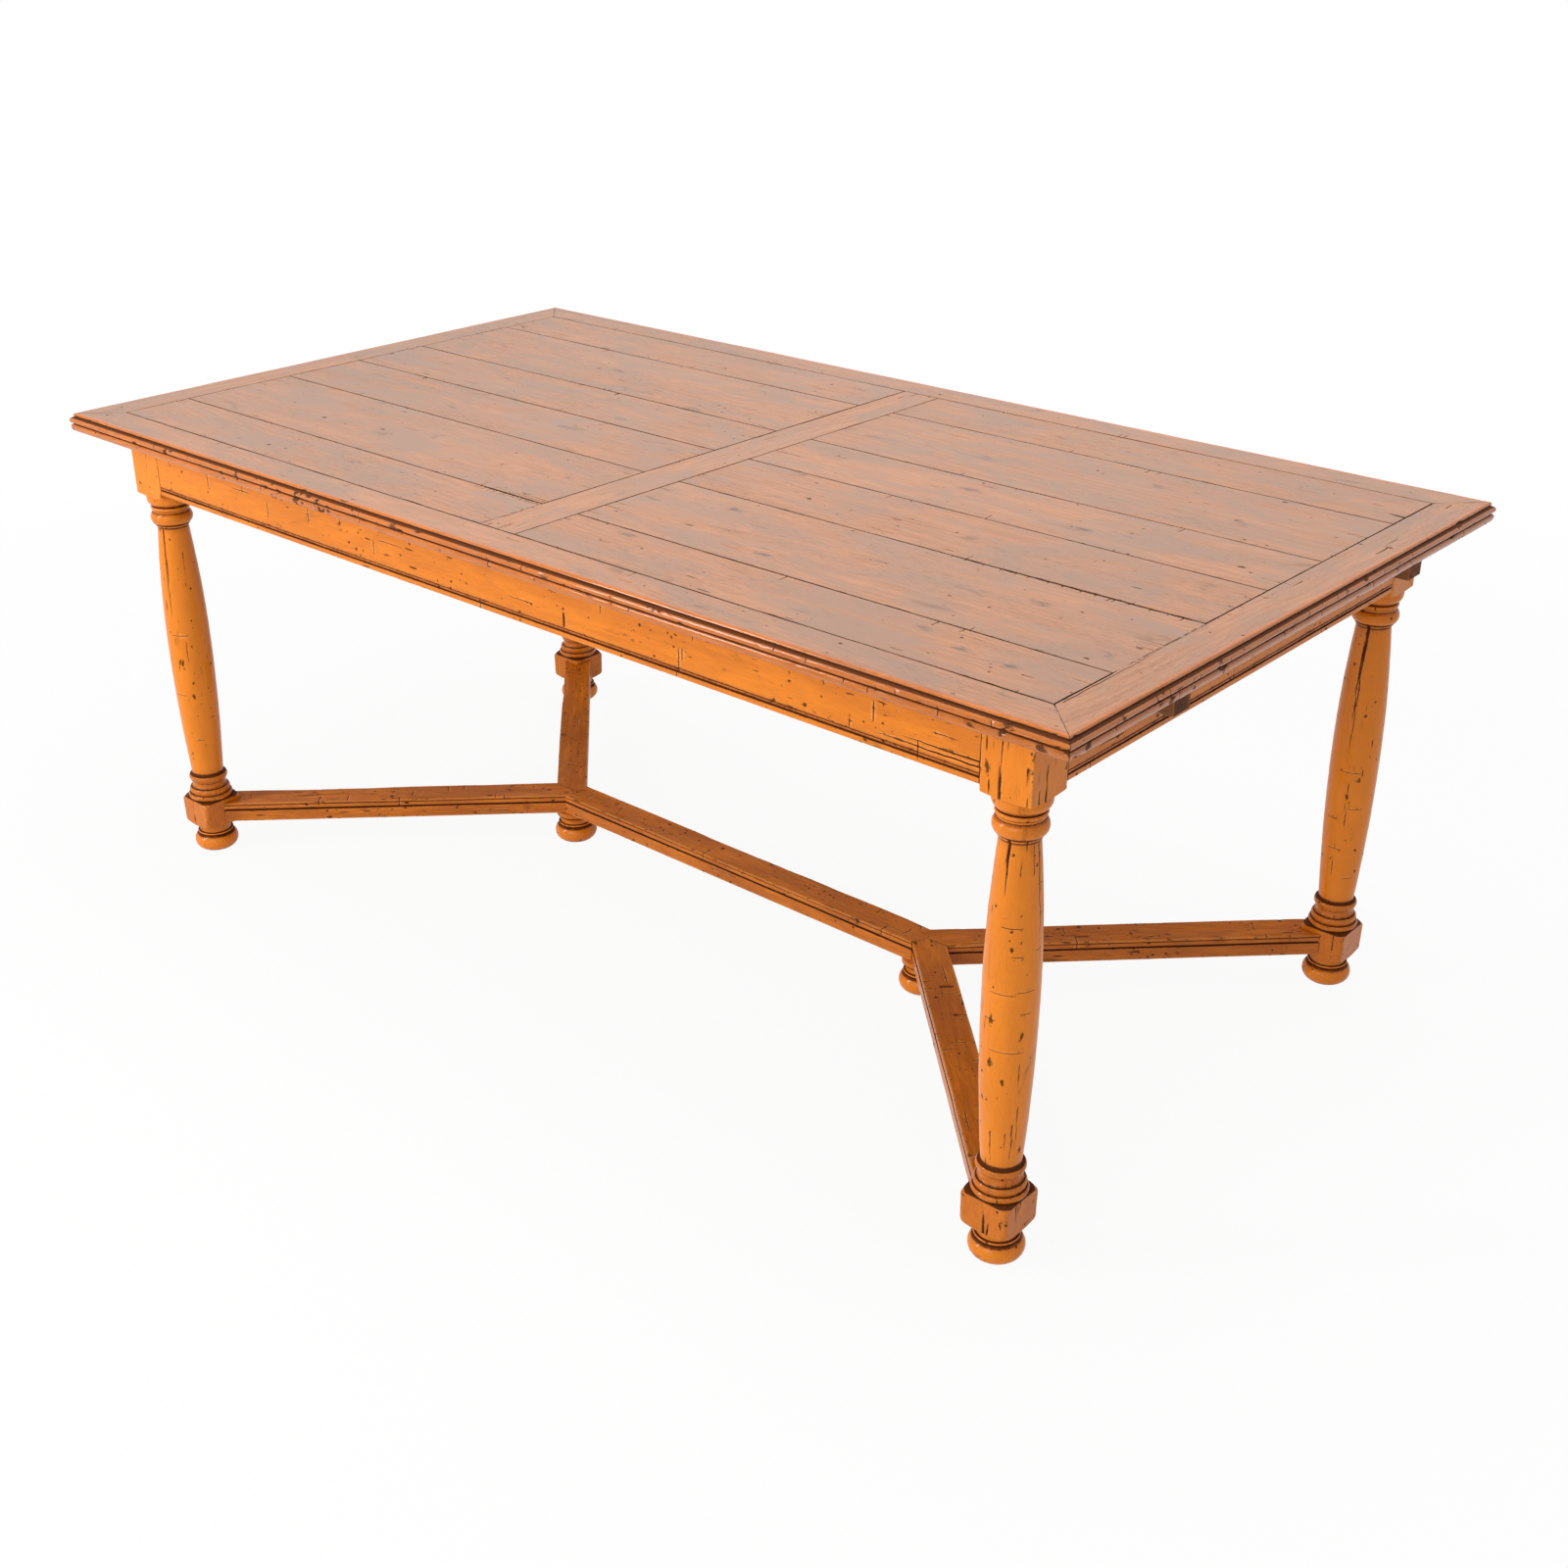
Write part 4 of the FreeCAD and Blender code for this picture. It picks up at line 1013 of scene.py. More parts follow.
class Signal:
    """An output of a node, which takes part in sums."""

    def __init__(self, graph, socket):
        self.graph = graph
        self.socket = socket

    def __add__(self, other):
        return self.graph.math("ADD", self, other)

    def __sub__(self, other):
        return self.graph.math("SUBTRACT", self, other)

    def __rsub__(self, other):
        return self.graph.math("SUBTRACT", other, self)

    def __mul__(self, other):
        return self.graph.math("MULTIPLY", self, other)

    def __truediv__(self, other):
        return self.graph.math("DIVIDE", self, other)

    def __rtruediv__(self, other):
        return self.graph.math("DIVIDE", other, self)

    def most(self, other):
        """The larger of two signals."""
        return self.graph.math("MAXIMUM", self, other)

    def ramp(self, low, high, start=0.0, end=1.0):
        """A smooth step from start at low to end at high."""
        spans = {"Value": self, "From Min": low, "From Max": high, "To Min": start, "To Max": end}
        return self.graph.out("ShaderNodeMapRange", spans, interpolation_type="SMOOTHSTEP")


class Graph:
    """Adds nodes to one node tree and joins them."""

    def __init__(self, tree):
        self.tree = tree

    def add(self, kind, inputs=None, **settings):
        """A node with its settings, and its inputs by name or number: a value or a signal."""
        node = self.tree.nodes.new(kind)
        for key, value in settings.items():
            setattr(node, key, value)
        for key, value in (inputs or {}).items():
            self.feed(node.inputs[key], value)
        return node

    def out(self, kind, inputs=None, output=0, **settings):
        """One output of a new node, by its name or number."""
        return Signal(self, self.add(kind, inputs, **settings).outputs[output])

    def feed(self, socket, value):
        """Joins a signal to an input, or sets the input's value."""
        if isinstance(value, Signal):
            self.tree.links.new(value.socket, socket)
        else:
            socket.default_value = value

    def math(self, operation, *values, clamp=False):
        """The result of a Math node."""
        return self.out("ShaderNodeMath", dict(enumerate(values)), operation=operation, use_clamp=clamp)

    def vector(self, operation, *values, output=0):
        """The result of a Vector Math node."""
        return self.out("ShaderNodeVectorMath", dict(enumerate(values)), output, operation=operation)

    def parts(self, vector):
        """The X, Y and Z of a vector."""
        return [Signal(self, part) for part in self.add("ShaderNodeSeparateXYZ", {0: vector}).outputs]

    def mix(self, factor, first, second):
        """A colour between first at 0 and second at 1."""
        return self.out("ShaderNodeMix", {0: factor, 6: first, 7: second}, 2, data_type="RGBA")

    def noise(self, vector, scale, detail=2.0, rough=0.5, distortion=0.0, output=0):
        """A noise value between 0 and 1."""
        return self.out("ShaderNodeTexNoise", {
            "Vector": vector, "Scale": scale, "Detail": detail, "Roughness": rough,
            "Distortion": distortion,
        }, output)

    def stretched(self, vector, scale, turn=0.0):
        """Coordinates scaled by a vector after a turn about the grain's depth."""
        return self.out("ShaderNodeMapping", {"Vector": vector, "Rotation": (0, 0, turn), "Scale": scale})

    def streaks(self, vector, along, across, *settings):
        """Noise drawn out along the grain: its scales along and across, then noise's own settings."""
        return self.noise(self.stretched(vector, (along, across, across)), *settings)

    def centred(self, vector, *settings):
        """Noise between -0.5 and 0.5."""
        return self.noise(vector, *settings) - 0.5


origin = (0.0, 0.0, 0.0)
socket_kinds = {float: "Float", int: "Int", tuple: "Vector"}


def new_tree(name, kind, inputs, outputs):
    """A node group. inputs gives each default, or Geometry or Material for a socket with none."""
    tree = bpy.data.node_groups.new(name, kind)
    for label, value in inputs.items():
        plain = isinstance(value, str)
        socket_type = "NodeSocket" + (value if plain else socket_kinds[type(value)])
        socket = tree.interface.new_socket(label, in_out="INPUT", socket_type=socket_type)
        if not plain:
            socket.default_value = value
    for label in outputs:
        socket_type = "NodeSocketGeometry" if label == "Geometry" else "NodeSocketFloat"
        tree.interface.new_socket(label, in_out="OUTPUT", socket_type=socket_type)
    graph = Graph(tree)
    held = {socket.name: Signal(graph, socket) for socket in graph.add("NodeGroupInput").outputs}
    return graph, held, graph.add("NodeGroupOutput").inputs


def run_tree(holder, tree, values):
    """Runs a geometry node tree on an object and returns the plain mesh, then removes the object."""
    modifier = holder.modifiers.new("shape", "NODES")
    modifier.node_group = tree
    for socket in tree.interface.items_tree:
        if socket.item_type == "SOCKET" and socket.in_out == "INPUT" and socket.name in values:
            modifier[socket.identifier] = values[socket.name]
    bpy.context.view_layer.update()
    graph = bpy.context.evaluated_depsgraph_get()
    mesh = bpy.data.meshes.new_from_object(holder.evaluated_get(graph))
    holder.modifiers.remove(modifier)
    bpy.data.objects.remove(holder)
    return mesh


def turned_post_tree():
    """Turns a profile about Z, squares its blocks and leaves the ripple of the chisel."""
    graph, inputs, outputs = new_tree("Turned Post", "GeometryNodeTree", {
        "Profile": "Geometry", "Segments": 144, "Block Half Width": 0.036, "Corner Sharpness": 30.0,
        "Ripple Depth": 0.0004, "Seed": 0.0, "Centre": origin, "Material": "Material",
    }, ["Geometry"])
    profile = graph.out("GeometryNodeMeshToCurve", {0: inputs["Profile"]})
    circle = graph.out(
        "GeometryNodeCurvePrimitiveCircle", {"Resolution": inputs["Segments"], "Radius": 0.01}
    )
    turn = graph.out("GeometryNodeInputIndex") / inputs["Segments"] * (2 * math.pi)
    circle = graph.out(
        "GeometryNodeStoreNamedAttribute", {"Geometry": circle, "Name": "turn_angle", "Value": turn},
        data_type="FLOAT", domain="POINT",
    )
    skin = graph.out("GeometryNodeCurveToMesh", {"Curve": circle, "Profile Curve": profile})
    angle, turned, height, square = [
        graph.out("GeometryNodeInputNamedAttribute", {"Name": name}, "Attribute", data_type="FLOAT")
        for name in ("turn_angle", "turn_radius", "turn_height", "turn_square")
    ]
    cosine, sine = graph.math("COSINE", angle), graph.math("SINE", angle)
    sharp = inputs["Corner Sharpness"]
    powers = [graph.math("POWER", graph.math("ABSOLUTE", part), sharp) for part in (cosine, sine)]
    flat = inputs["Block Half Width"] / graph.math("POWER", powers[0] + powers[1], 1.0 / sharp)
    squared = graph.math("SMOOTH_MIN", flat, turned, 0.0012)
    radius = turned + (squared - turned) * square
    shift = graph.out("ShaderNodeCombineXYZ", {0: inputs["Seed"], 1: inputs["Seed"]})

    def ring_place(size):
        """Where a point stands on a ring of the given size."""
        return graph.out("ShaderNodeCombineXYZ", {0: cosine * size, 1: sine * size, 2: height})

    plain = graph.vector("ADD", ring_place(radius), shift)
    ripple = graph.centred(plain, 24.0) * 2.0 + graph.centred(plain, 95.0)
    fade = graph.math("MINIMUM", radius * 50.0, 1.0)
    ripple = ripple * inputs["Ripple Depth"] * fade
    place = graph.vector("ADD", ring_place(radius + ripple), inputs["Centre"])
    for kind, more in (
        ("SetPosition", {"Position": place}), ("MergeByDistance", {"Distance": 1e-6}),
        ("RealizeInstances", {}), ("SetMaterial", {"Material": inputs["Material"]}),
    ):
        skin = graph.out("GeometryNode" + kind, {"Geometry": skin, **more})
    graph.feed(outputs[0], skin)
    return graph.tree


def turned_mesh(name, tree, stations, centre, seed, sizes):
    """Runs the turning tree on a profile, and points the faces outwards."""
    shape = turned_outline(stations)
    points = [(radius, 0, height) for radius, height in shape[:, :2]]
    mesh = new_mesh(name + "_profile", points, [(k, k + 1) for k in range(len(shape) - 1)])
    for label, column in (("turn_radius", 0), ("turn_height", 1), ("turn_square", 2), ("glaze", 3)):
        store(mesh, label, shape[:, column])
    turned = run_tree(new_object(name + "_profile", mesh), tree, {
        "Segments": sizes.segments, "Block Half Width": sizes.block_half, "Seed": float(seed),
        "Ripple Depth": sizes.ripple, "Centre": centre, "Material": bpy.data.materials["honey_base"],
    })
    point_outwards(turned, merge=1e-7)
    for label in ("turn_radius", "turn_height", "turn_square", "turn_angle"):
        if label in turned.attributes:
            turned.attributes.remove(turned.attributes[label])
    return turned


def carve_cracks(mesh, centre, cracks, arcs, seed):
    """Opens upright cracks in a post, wide and deep at their open end, and scores arcs across it.

    A crack is (compass degrees, from, to, depth, half width), an arc (height, from, to, depth).
    """
    places = vertex_places(mesh)
    flat = places[:, :2] - np.array(centre[:2])
    radius = np.hypot(*flat.T)
    angle = np.degrees(np.arctan2(flat[:, 1], flat[:, 0]))
    glaze = np.zeros(len(places))
    mesh.attributes["glaze"].data.foreach_get("value", glaze)
    levels, ring = np.unique(np.round(places[:, 2], 5), return_inverse=True)
    for number, (bearing, start, end, depth, half_width) in enumerate(cracks):
        part = (places[:, 2] - start) / (end - start)
        taper = np.where((part >= -0.02) & (part <= 1), np.clip(1 - part, 0, 1), 0) ** 0.75
        stray = 3.0 * line_noise(places[:, 2], 16 * mm, seed + number) * (1 - 0.5 * taper)
        away = abs((angle - bearing - stray + 180) % 360 - 180)
        across = np.radians(away) * np.maximum(radius, 5 * mm)
        uneven = 0.8 + 0.3 * line_noise(places[:, 2], 8 * mm, seed + 50 + number)
        half = half_width * mm * taper * uneven
        cover = np.clip((half - across) / (0.9 * mm) + 0.55, 0, 1) * (taper > 0)
        radius = radius - depth * mm * cover * np.sqrt(taper)
        glaze = np.maximum(glaze, cover)
    for height, first, last, depth in arcs:
        middle = nearest(levels, height)
        part = ((angle - first + 360) % 360) / (last - first)
        swell = np.where(part < 1, np.sin(math.pi * np.minimum(part, 1)), 0) ** 0.5
        for offset in (-1, 0, 1):
            rows = (ring == middle + offset) & (swell > 0)
            goal = height + offset * 0.8 * mm
            places[rows, 2] += (goal - places[rows, 2]) * smooth_step(swell[rows], 0, 0.4)
            if offset == 0:
                radius[rows] -= depth * mm * swell[rows]
                glaze[rows] = np.maximum(glaze[rows], smooth_step(swell[rows], 0.1, 0.6))
    turned = np.radians(angle)
    places[:, 0] = centre[0] + radius * np.cos(turned)
    places[:, 1] = centre[1] + radius * np.sin(turned)
    mesh.vertices.foreach_set("co", places.ravel())
    store(mesh, "glaze", glaze)
    mesh.update()


# Marks that stand out on the legs. Cracks: compass degrees from +X, from and to heights in metres,
# depth and half width in millimetres, with the open end first. Arcs: height in metres, from and to
# degrees, and depth. Knots: degrees, height, reach, and distance from the middle if it isn't 34.
leg_cracks = {
    "leg_right_front": [
        (-84, 0.599, 0.530, 2.6, 2.5), (4, 0.600, 0.44, 1.4, 1.0), (-30, 0.30, 0.25, 1.0, 0.8),
        (-88, 0.20, 0.155, 1.4, 1.0), (-38, 0.60, 0.585, 1.2, 0.9),
        (-103, 0.651, 0.70, 2.2, 2.6), (-88, 0.745, 0.715, 1.6, 1.2), (-11, 0.651, 0.705, 2.0, 2.0),
        (-30, 0.651, 0.672, 1.5, 1.6), (-50, 0.70, 0.68, 1.5, 1.8), (12, 0.735, 0.69, 1.2, 1.0),
        (-100, 0.72, 0.69, 1.4, 0.9), (-86, 0.049, 0.087, 2.2, 2.4), (-77, 0.049, 0.070, 2.0, 1.8),
        (-22, 0.098, 0.072, 1.6, 1.2), (-15, 0.098, 0.080, 1.6, 1.2), (-8, 0.098, 0.086, 1.4, 1.0),
        (-35, 0.215, 0.16, 1.4, 1.0), (-25, 0.24, 0.17, 1.2, 0.8), (-52, 0.20, 0.175, 1.0, 0.8),
    ],
    "leg_right_back": [
        (-83, 0.599, 0.40, 2.4, 1.5), (-87, 0.565, 0.45, 2.0, 1.3), (-79, 0.60, 0.545, 1.6, 1.2),
        (-60, 0.098, 0.06, 1.4, 1.0), (-70, 0.30, 0.27, 1.0, 0.8), (-90, 0.22, 0.19, 1.0, 0.8),
        (10, 0.5, 0.44, 1.0, 0.8),
    ],
    "leg_left_front": [
        (-73, 0.598, 0.435, 2.0, 1.4), (-68, 0.54, 0.48, 1.4, 1.0), (-40, 0.40, 0.36, 1.0, 0.8),
        (-95, 0.098, 0.05, 1.2, 0.9), (-80, 0.735, 0.70, 1.4, 0.9), (150, 0.55, 0.42, 1.3, 1.0),
    ],
    "leg_left_back": [
        (-60, 0.36, 0.27, 1.3, 1.0), (120, 0.598, 0.47, 1.5, 1.2), (60, 0.30, 0.22, 1.1, 0.9),
    ],
}
leg_arcs = {
    "leg_right_front": [
        (0.400, -102, -46, 0.4), (0.362, -112, -84, 0.4), (0.320, -98, -22, 0.35),
        (0.374, -36, -12, 0.3), (0.452, -60, -35, 0.3),
    ],
    "leg_right_back": [(0.37, -95, -45, 0.4), (0.31, -70, -30, 0.3), (0.24, -110, -70, 0.3)],
    "leg_left_front": [(0.41, -80, -30, 0.4), (0.30, -100, -60, 0.3)],
}
leg_knots = {
    "leg_right_front": [
        (-97, 0.362, 14), (-45, 0.401, 9), (-94, 0.301, 12), (-30, 0.345, 10),
        (-125, 0.686, 17, 43), (-70, 0.745, 9, 38), (-52, 0.075, 10, 46), (40, 0.705, 12, 46),
    ],
    "leg_right_back": [(-75, 0.33, 10), (-50, 0.36, 9)],
    "leg_left_front": [(-60, 0.36, 14), (-40, 0.3, 12)],
}


class HARVEST_OT_turn_legs(bpy.types.Operator):
    """Turns the four legs, each one piece from bun foot to square top block"""

    bl_idname = "harvest.turn_legs"
    bl_label = "Turn the legs"

    def execute(self, context):
        sizes = context.scene.harvest_base
        tree = bpy.data.node_groups.get("Turned Post") or turned_post_tree()
        for node, _, _, number in corners("leg"):
            centre = (*middle_of(node)[:2], 0)
            seed = 3000 + number
            mesh = turned_mesh("turned_" + node, tree, leg_turning, centre, seed % 97, sizes)
            source = draws(seed)
            cracks = list(leg_cracks[node])
            for _ in range(7):
                start = source.uniform(0.16, 0.58)
                reach = source.uniform(0.015, 0.06) * source.choice((-1, 1))
                cracks.append((source.uniform(-180, 180), start, start + reach, 0.8, 0.7))
            arcs = list(leg_arcs.get(node, ()))
            for step in range(4):
                first = source.uniform(-180, 180)
                height = 0.18 + 0.1 * step + source.uniform(0, 0.04)
                arcs.append((height, first, first + source.uniform(20, 50), 0.3))
            carve_cracks(mesh, centre, cracks, arcs, seed)
            knots = []
            for turn, height, reach, *out in leg_knots.get(node, ()):
                turn, out = math.radians(turn), (out or [34])[0] * mm
                spot = (centre[0] + out * math.cos(turn), centre[1] + out * math.sin(turn), height)
                knots.append((spot, (reach * 0.6 * mm, reach * 0.6 * mm, reach * mm)))
            stain(mesh, "knot", knots)
            # The tone deepens towards the back legs and a little to the right, darkest at the right back:
            # painted shade for legs further under the top.
            tone = 0.25 + 0.12 * (number // 10 + 2 * (number % 10))
            hand_over("turned_" + node, mesh, "turned_honey", node, (0, 0, 1), seed, tone)
        return {"FINISHED"}


class HARVEST_OT_turn_feet(bpy.types.Operator):
    """Turns the two bun feet under the stretcher's junctions"""

    bl_idname = "harvest.turn_feet"
    bl_label = "Turn the junction feet"

    def execute(self, context):
        sizes = context.scene.harvest_base
        tree = bpy.data.node_groups.get("Turned Post") or turned_post_tree()
        for number, name in enumerate(sides):
            node = "junction_foot_" + name
            centre = (*middle_of(node)[:2], 0)
            mesh = turned_mesh("turned_" + node, tree, junction_turning, centre, 50 + number, sizes)
            hand_over("turned_" + node, mesh, "turned_honey", node, (0, 0, 1), 3100 + number, 0.6)
        return {"FINISHED"}


def stretcher_outline(half, base, top):
    """Section of a stretcher bar, with a quirk, a bead and a groove along both sides."""
    arris = 0.8 * mm
    bead_top, bead_low, groove_low = top - 4.4 * mm, top - 11.4 * mm, top - 14 * mm
    bead, groove = half - 0.8 * mm, half - 2.2 * mm
    side = [(0.0, base, 0.3), (half - arris, base, 0.4), (half, base + arris, 0.15)]
    side += [(half, groove_low - 1.5 * mm, 0.1), (half, groove_low, 0.8), (groove, groove_low, 1.0)]
    side += [(groove, bead_low, 1.0), (bead, bead_low, 0.8)]
    side += bow((bead, bead_low), (bead, bead_top, 0.75), 0.8 * mm, 8, 0.4)
    side += [(half - 1.5 * mm, top - 3.7 * mm, 1.0), (half, top - 3 * mm, 0.7)]
    side += [(half, top - 2 * mm, 0.15), (half, top - arris, 0.05), (half - arris, top, 0.0)]
    other = [(-across, up, glaze) for across, up, glaze in reversed(side[1:])]
    return side + [(0.0, top, 0.0)] + other


def stretcher_reshape(half, top, base, sizes, seed):
    """Wears the upper edges of a stretcher bar unevenly, as feet have."""
    def reshape(along, wide, tall):
        for side in (-1, 1):
            worn = 0.35 + line_noise(along, 110 * mm, seed + side)
            worn = np.clip(worn + 0.4 * line_noise(along, 35 * mm, seed + 3 + side), 0, 2)
            near = smooth_step(side * wide, half - 15 * mm, half)
            upper = smooth_step(tall, top - 16 * mm, top - 1 * mm)
            tall = tall - sizes.edge_wear * 0.55 * worn * near * upper
            inward = side * sizes.edge_wear * 0.6 * (worn - 0.6) * near
            wide = wide - inward * smooth_step(tall, base, top)
        hollow = 0.5 * mm * (1 + line_noise(along, 150 * mm, seed + 9)) * (1 - (wide / half) ** 2)
        return along, wide, tall - hollow * smooth_step(tall, top - 4 * mm, top)
    return reshape


def bar_checks(source, low, high, half, top, count):
    """Splits along a stretcher bar's top and sides, and nicks across it."""
    checks, ticks = [], []
    for _ in range(count):
        start = source.uniform(low, high)
        reach = source.uniform(15, 70) * mm * source.choice((-1, 1))
        if source.uniform() < 0.5:
            spot = (source.uniform(-half * 0.8, half * 0.8), top)
        else:
            spot = (half * source.choice((-1, 1)), top - source.uniform(17, 30) * mm)
        checks.append((start, start + reach, *spot, 0.45 * mm, source.uniform(0.6, 1.3) * mm))
        ticks.append((
            source.uniform(low, high), half * source.uniform(-1, 1), top,
            source.uniform(4, 13) * mm, source.uniform(0.2, 0.6) * mm,
        ))
    return checks, ticks


# Dark knots on the stretcher's upper faces, as places in the model.
stretcher_knots = (
    (0.587, 0.129), (0.620, 0.108), (0.536, 0.156), (0.594, 0.150), (0.395, -0.023),
    (0.411, 0.018), (-0.427, -0.029), (-0.382, 0.0), (-0.126, 0.010), (0.281, -0.026),
    (0.409, -0.004), (0.512, -0.128), (0.554, -0.112), (0.563, -0.147), (-0.619, -0.229),
    (-0.480, -0.076), (-0.582, 0.151), (-0.653, 0.223), (-0.769, -0.412),
)


def mould_bar(name, node, place, ends, end_zone, marks, sizes, along, seed, tone):
    """Makes one bar of the stretcher, moulded along both sides and worn on top."""
    half = sizes.stretcher_width / 2
    base, top = (corner.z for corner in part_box("stretcher_beam"))
    mesh = board(
        name, place, stretcher_outline(half, base, top), *ends, step=5 * mm, checks=marks[0],
        ticks=marks[1], reshape=stretcher_reshape(half, top, base, sizes, seed), ridge=True,
        wear=tool_wear(seed, 0.4 * mm, 0.9 * mm), seed=seed, ripple=sizes.ripple * 0.4,
        end_zone=end_zone,
    )
    stain(mesh, "knot", [((x, y, top), (9 * mm, 9 * mm, 24 * mm)) for x, y in stretcher_knots])
    hand_over(name, mesh, "walked_stretcher", node, along, seed, tone)


class HARVEST_OT_mould_stretcher(bpy.types.Operator):
    """Makes the stretcher's beam and its four forks"""

    bl_idname = "harvest.mould_stretcher"
    bl_label = "Mould the stretcher"

    def execute(self, context):
        sizes = context.scene.harvest_base
        half = sizes.stretcher_width / 2
        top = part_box("stretcher_beam")[1].z
        reach = sizes.junction_reach
        leg = middle_of("leg_right_back")
        angle = math.atan2(leg.y, leg.x - reach)
        source = draws(4000)
        tip = lambda across: reach - sizes.joint_gap - abs(across) * math.tan(angle / 2)
        marks = bar_checks(source, -reach, reach, half, top, 12)
        for first, last, across in ((-0.37, -0.30, 0.012), (0.372, 0.335, -0.006)):
            marks[0].append((first, last, across, top, 0.8 * mm, 1.8 * mm))
        mould_bar(
            "moulded_beam", "stretcher_beam", along_x, (lambda across: -tip(across), tip), 0.06,
            marks, sizes, (1, 0, 0), 4000, 0.5,
        )
        ends = self.fork_ends(angle, leg, sizes)
        for node, side_x, side_y, number in corners("fork"):
            seed = 4100 + number
            source = draws(seed)
            marks = bar_checks(source, 0.04, 0.6, half, top, 9)
            if node == "fork_left_back":
                marks[0].append((0.50, 0.44, 0.004, top, 0.9 * mm, 2 * mm))
            if node == "fork_right_front":
                marks[1].append((0.16, -0.01, top, 15 * mm, 1.4 * mm))
            mould_bar(
                "moulded_" + node, node, self.lay_fork(angle, reach, side_x, side_y), ends, 0.09,
                marks, sizes, (side_x * math.cos(angle), side_y * math.sin(angle), 0), seed,
                source.uniform(0.3, 0.8),
            )
        return {"FINISHED"}

    @staticmethod
    def fork_ends(angle, leg, sizes):
        """Where a fork begins at the junction and ends round the leg's block, for each distance
        across it. Across is towards the beam."""
        gap = sizes.joint_gap
        beam_slope = math.tan(angle / 2)
        crotch_slope = 1 / math.tan(angle)

        def start(across):
            across = np.asarray(across)
            return np.where(across > 0, across * -beam_slope, across * -crotch_slope) + gap

        def end(across):
            across = np.asarray(across)
            far = leg.x - sizes.block_half - sizes.junction_reach
            to_x = (far + across * math.sin(angle)) / math.cos(angle)
            to_y = (leg.y - sizes.block_half - across * math.cos(angle)) / math.sin(angle)
            return np.maximum(to_x, to_y) - gap

        return start, end

    @staticmethod
    def lay_fork(angle, reach, side_x, side_y):
        """Lays a fork from its junction towards its leg."""
        def place(along, wide, tall):
            x = reach + along * math.cos(angle) - wide * math.sin(angle)
            y = along * math.sin(angle) + wide * math.cos(angle)
            return np.stack([side_x * x, side_y * y, tall], -1)
        return place


def blunted(low, high, tip):
    """Rounds the end of a bar that shows."""
    def reshape(along, wide, tall):
        near = smooth_step(-abs(along - tip), -1.3 * mm, 0) * 0.9 * mm
        wide = wide + near * np.sign((low.y + high.y) / 2 - wide)
        return along, wide, tall + near * np.sign((low.z + high.z) / 2 - tall)
    return reshape


class HARVEST_OT_slide_supports(bpy.types.Operator):
    """Makes the four pull-out leaf supports, each riding on its own body"""

    bl_idname = "harvest.slide_supports"
    bl_label = "Slide the supports in"

    def execute(self, context):
        bevel = 0.8 * mm
        for node, side_x, _, number in corners("loper"):
            low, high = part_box(node)
            seed = 5000 + number
            source = draws(seed)
            outline = [
                (low.y + bevel, low.z), (high.y - bevel, low.z), (high.y, low.z + bevel),
                (high.y, high.z - bevel), (high.y - bevel, high.z), (low.y + bevel, high.z),
                (low.y, high.z - bevel), (low.y, low.z + bevel),
            ]
            tip = high.x if side_x > 0 else low.x
            checks = []
            for edge in (low.z, low.z, high.z):
                end = tip - side_x * source.uniform(15, 45) * mm
                place = source.uniform(low.y + 5 * mm, high.y - 5 * mm)
                checks.append((tip, end, place, edge, 0.4 * mm, 1.2 * mm))
            name = "support_" + node[6:]
            piece = "support_bar_" + node[6:]
            mesh = board(
                piece, along_x, [(*spot, 0.2) for spot in outline], steady(low.x), steady(high.x),
                step=4 * mm, checks=checks, reshape=blunted(low, high, tip), seed=seed,
                ticks=[(tip - side_x * k * mm, high.y, high.z, *no_mark) for k in (1.5, 3.0)],
                ripple=0.08 * mm, glaze_ends=0.62, end_zone=0.02,
            )
            tone = source.uniform(0.2, 0.8)
            hand_over(piece, mesh, "dark_support", node, (1, 0, 0), seed, tone, body=name)
        return {"FINISHED"}


def slotted_screw_tree():
    """Sets a slotted countersunk screw at each point, each turned at random."""
    graph, inputs, outputs = new_tree("Slotted Screws", "GeometryNodeTree", {
        "Points": "Geometry", "Head Radius": 0.004, "Head Height": 0.0024, "Shank Radius": 0.002,
        "Slot Width": 0.0009, "Seed": 7, "Material": "Material",
    }, ["Geometry"])
    head = graph.out("GeometryNodeMeshCone", {
        "Vertices": 24, "Radius Top": inputs["Shank Radius"], "Radius Bottom": inputs["Head Radius"],
        "Depth": inputs["Head Height"],
    }, fill_type="NGON")
    size = {0: inputs["Head Radius"] * 3.0, 1: inputs["Slot Width"], 2: inputs["Head Height"]}
    slot = graph.out("GeometryNodeMeshCube", {"Size": graph.out("ShaderNodeCombineXYZ", size)})
    screws = graph.out(
        "GeometryNodeMeshBoolean", {"Mesh 1": head, "Mesh 2": slot}, operation="DIFFERENCE"
    )
    turn = {"Max": (0.0, 0.0, 6.283), "Seed": inputs["Seed"]}
    spin = graph.out("FunctionNodeRandomValue", turn, data_type="FLOAT_VECTOR")
    screws = graph.out(
        "GeometryNodeInstanceOnPoints",
        {"Points": inputs["Points"], "Instance": screws, "Rotation": spin},
    )
    screws = graph.out("GeometryNodeRealizeInstances", {"Geometry": screws})
    finish = {"Geometry": screws, "Material": inputs["Material"]}
    graph.feed(outputs[0], graph.out("GeometryNodeSetMaterial", finish))
    return graph.tree


# No two screws stand nearer to each other than this.
screw_apart = 0.012


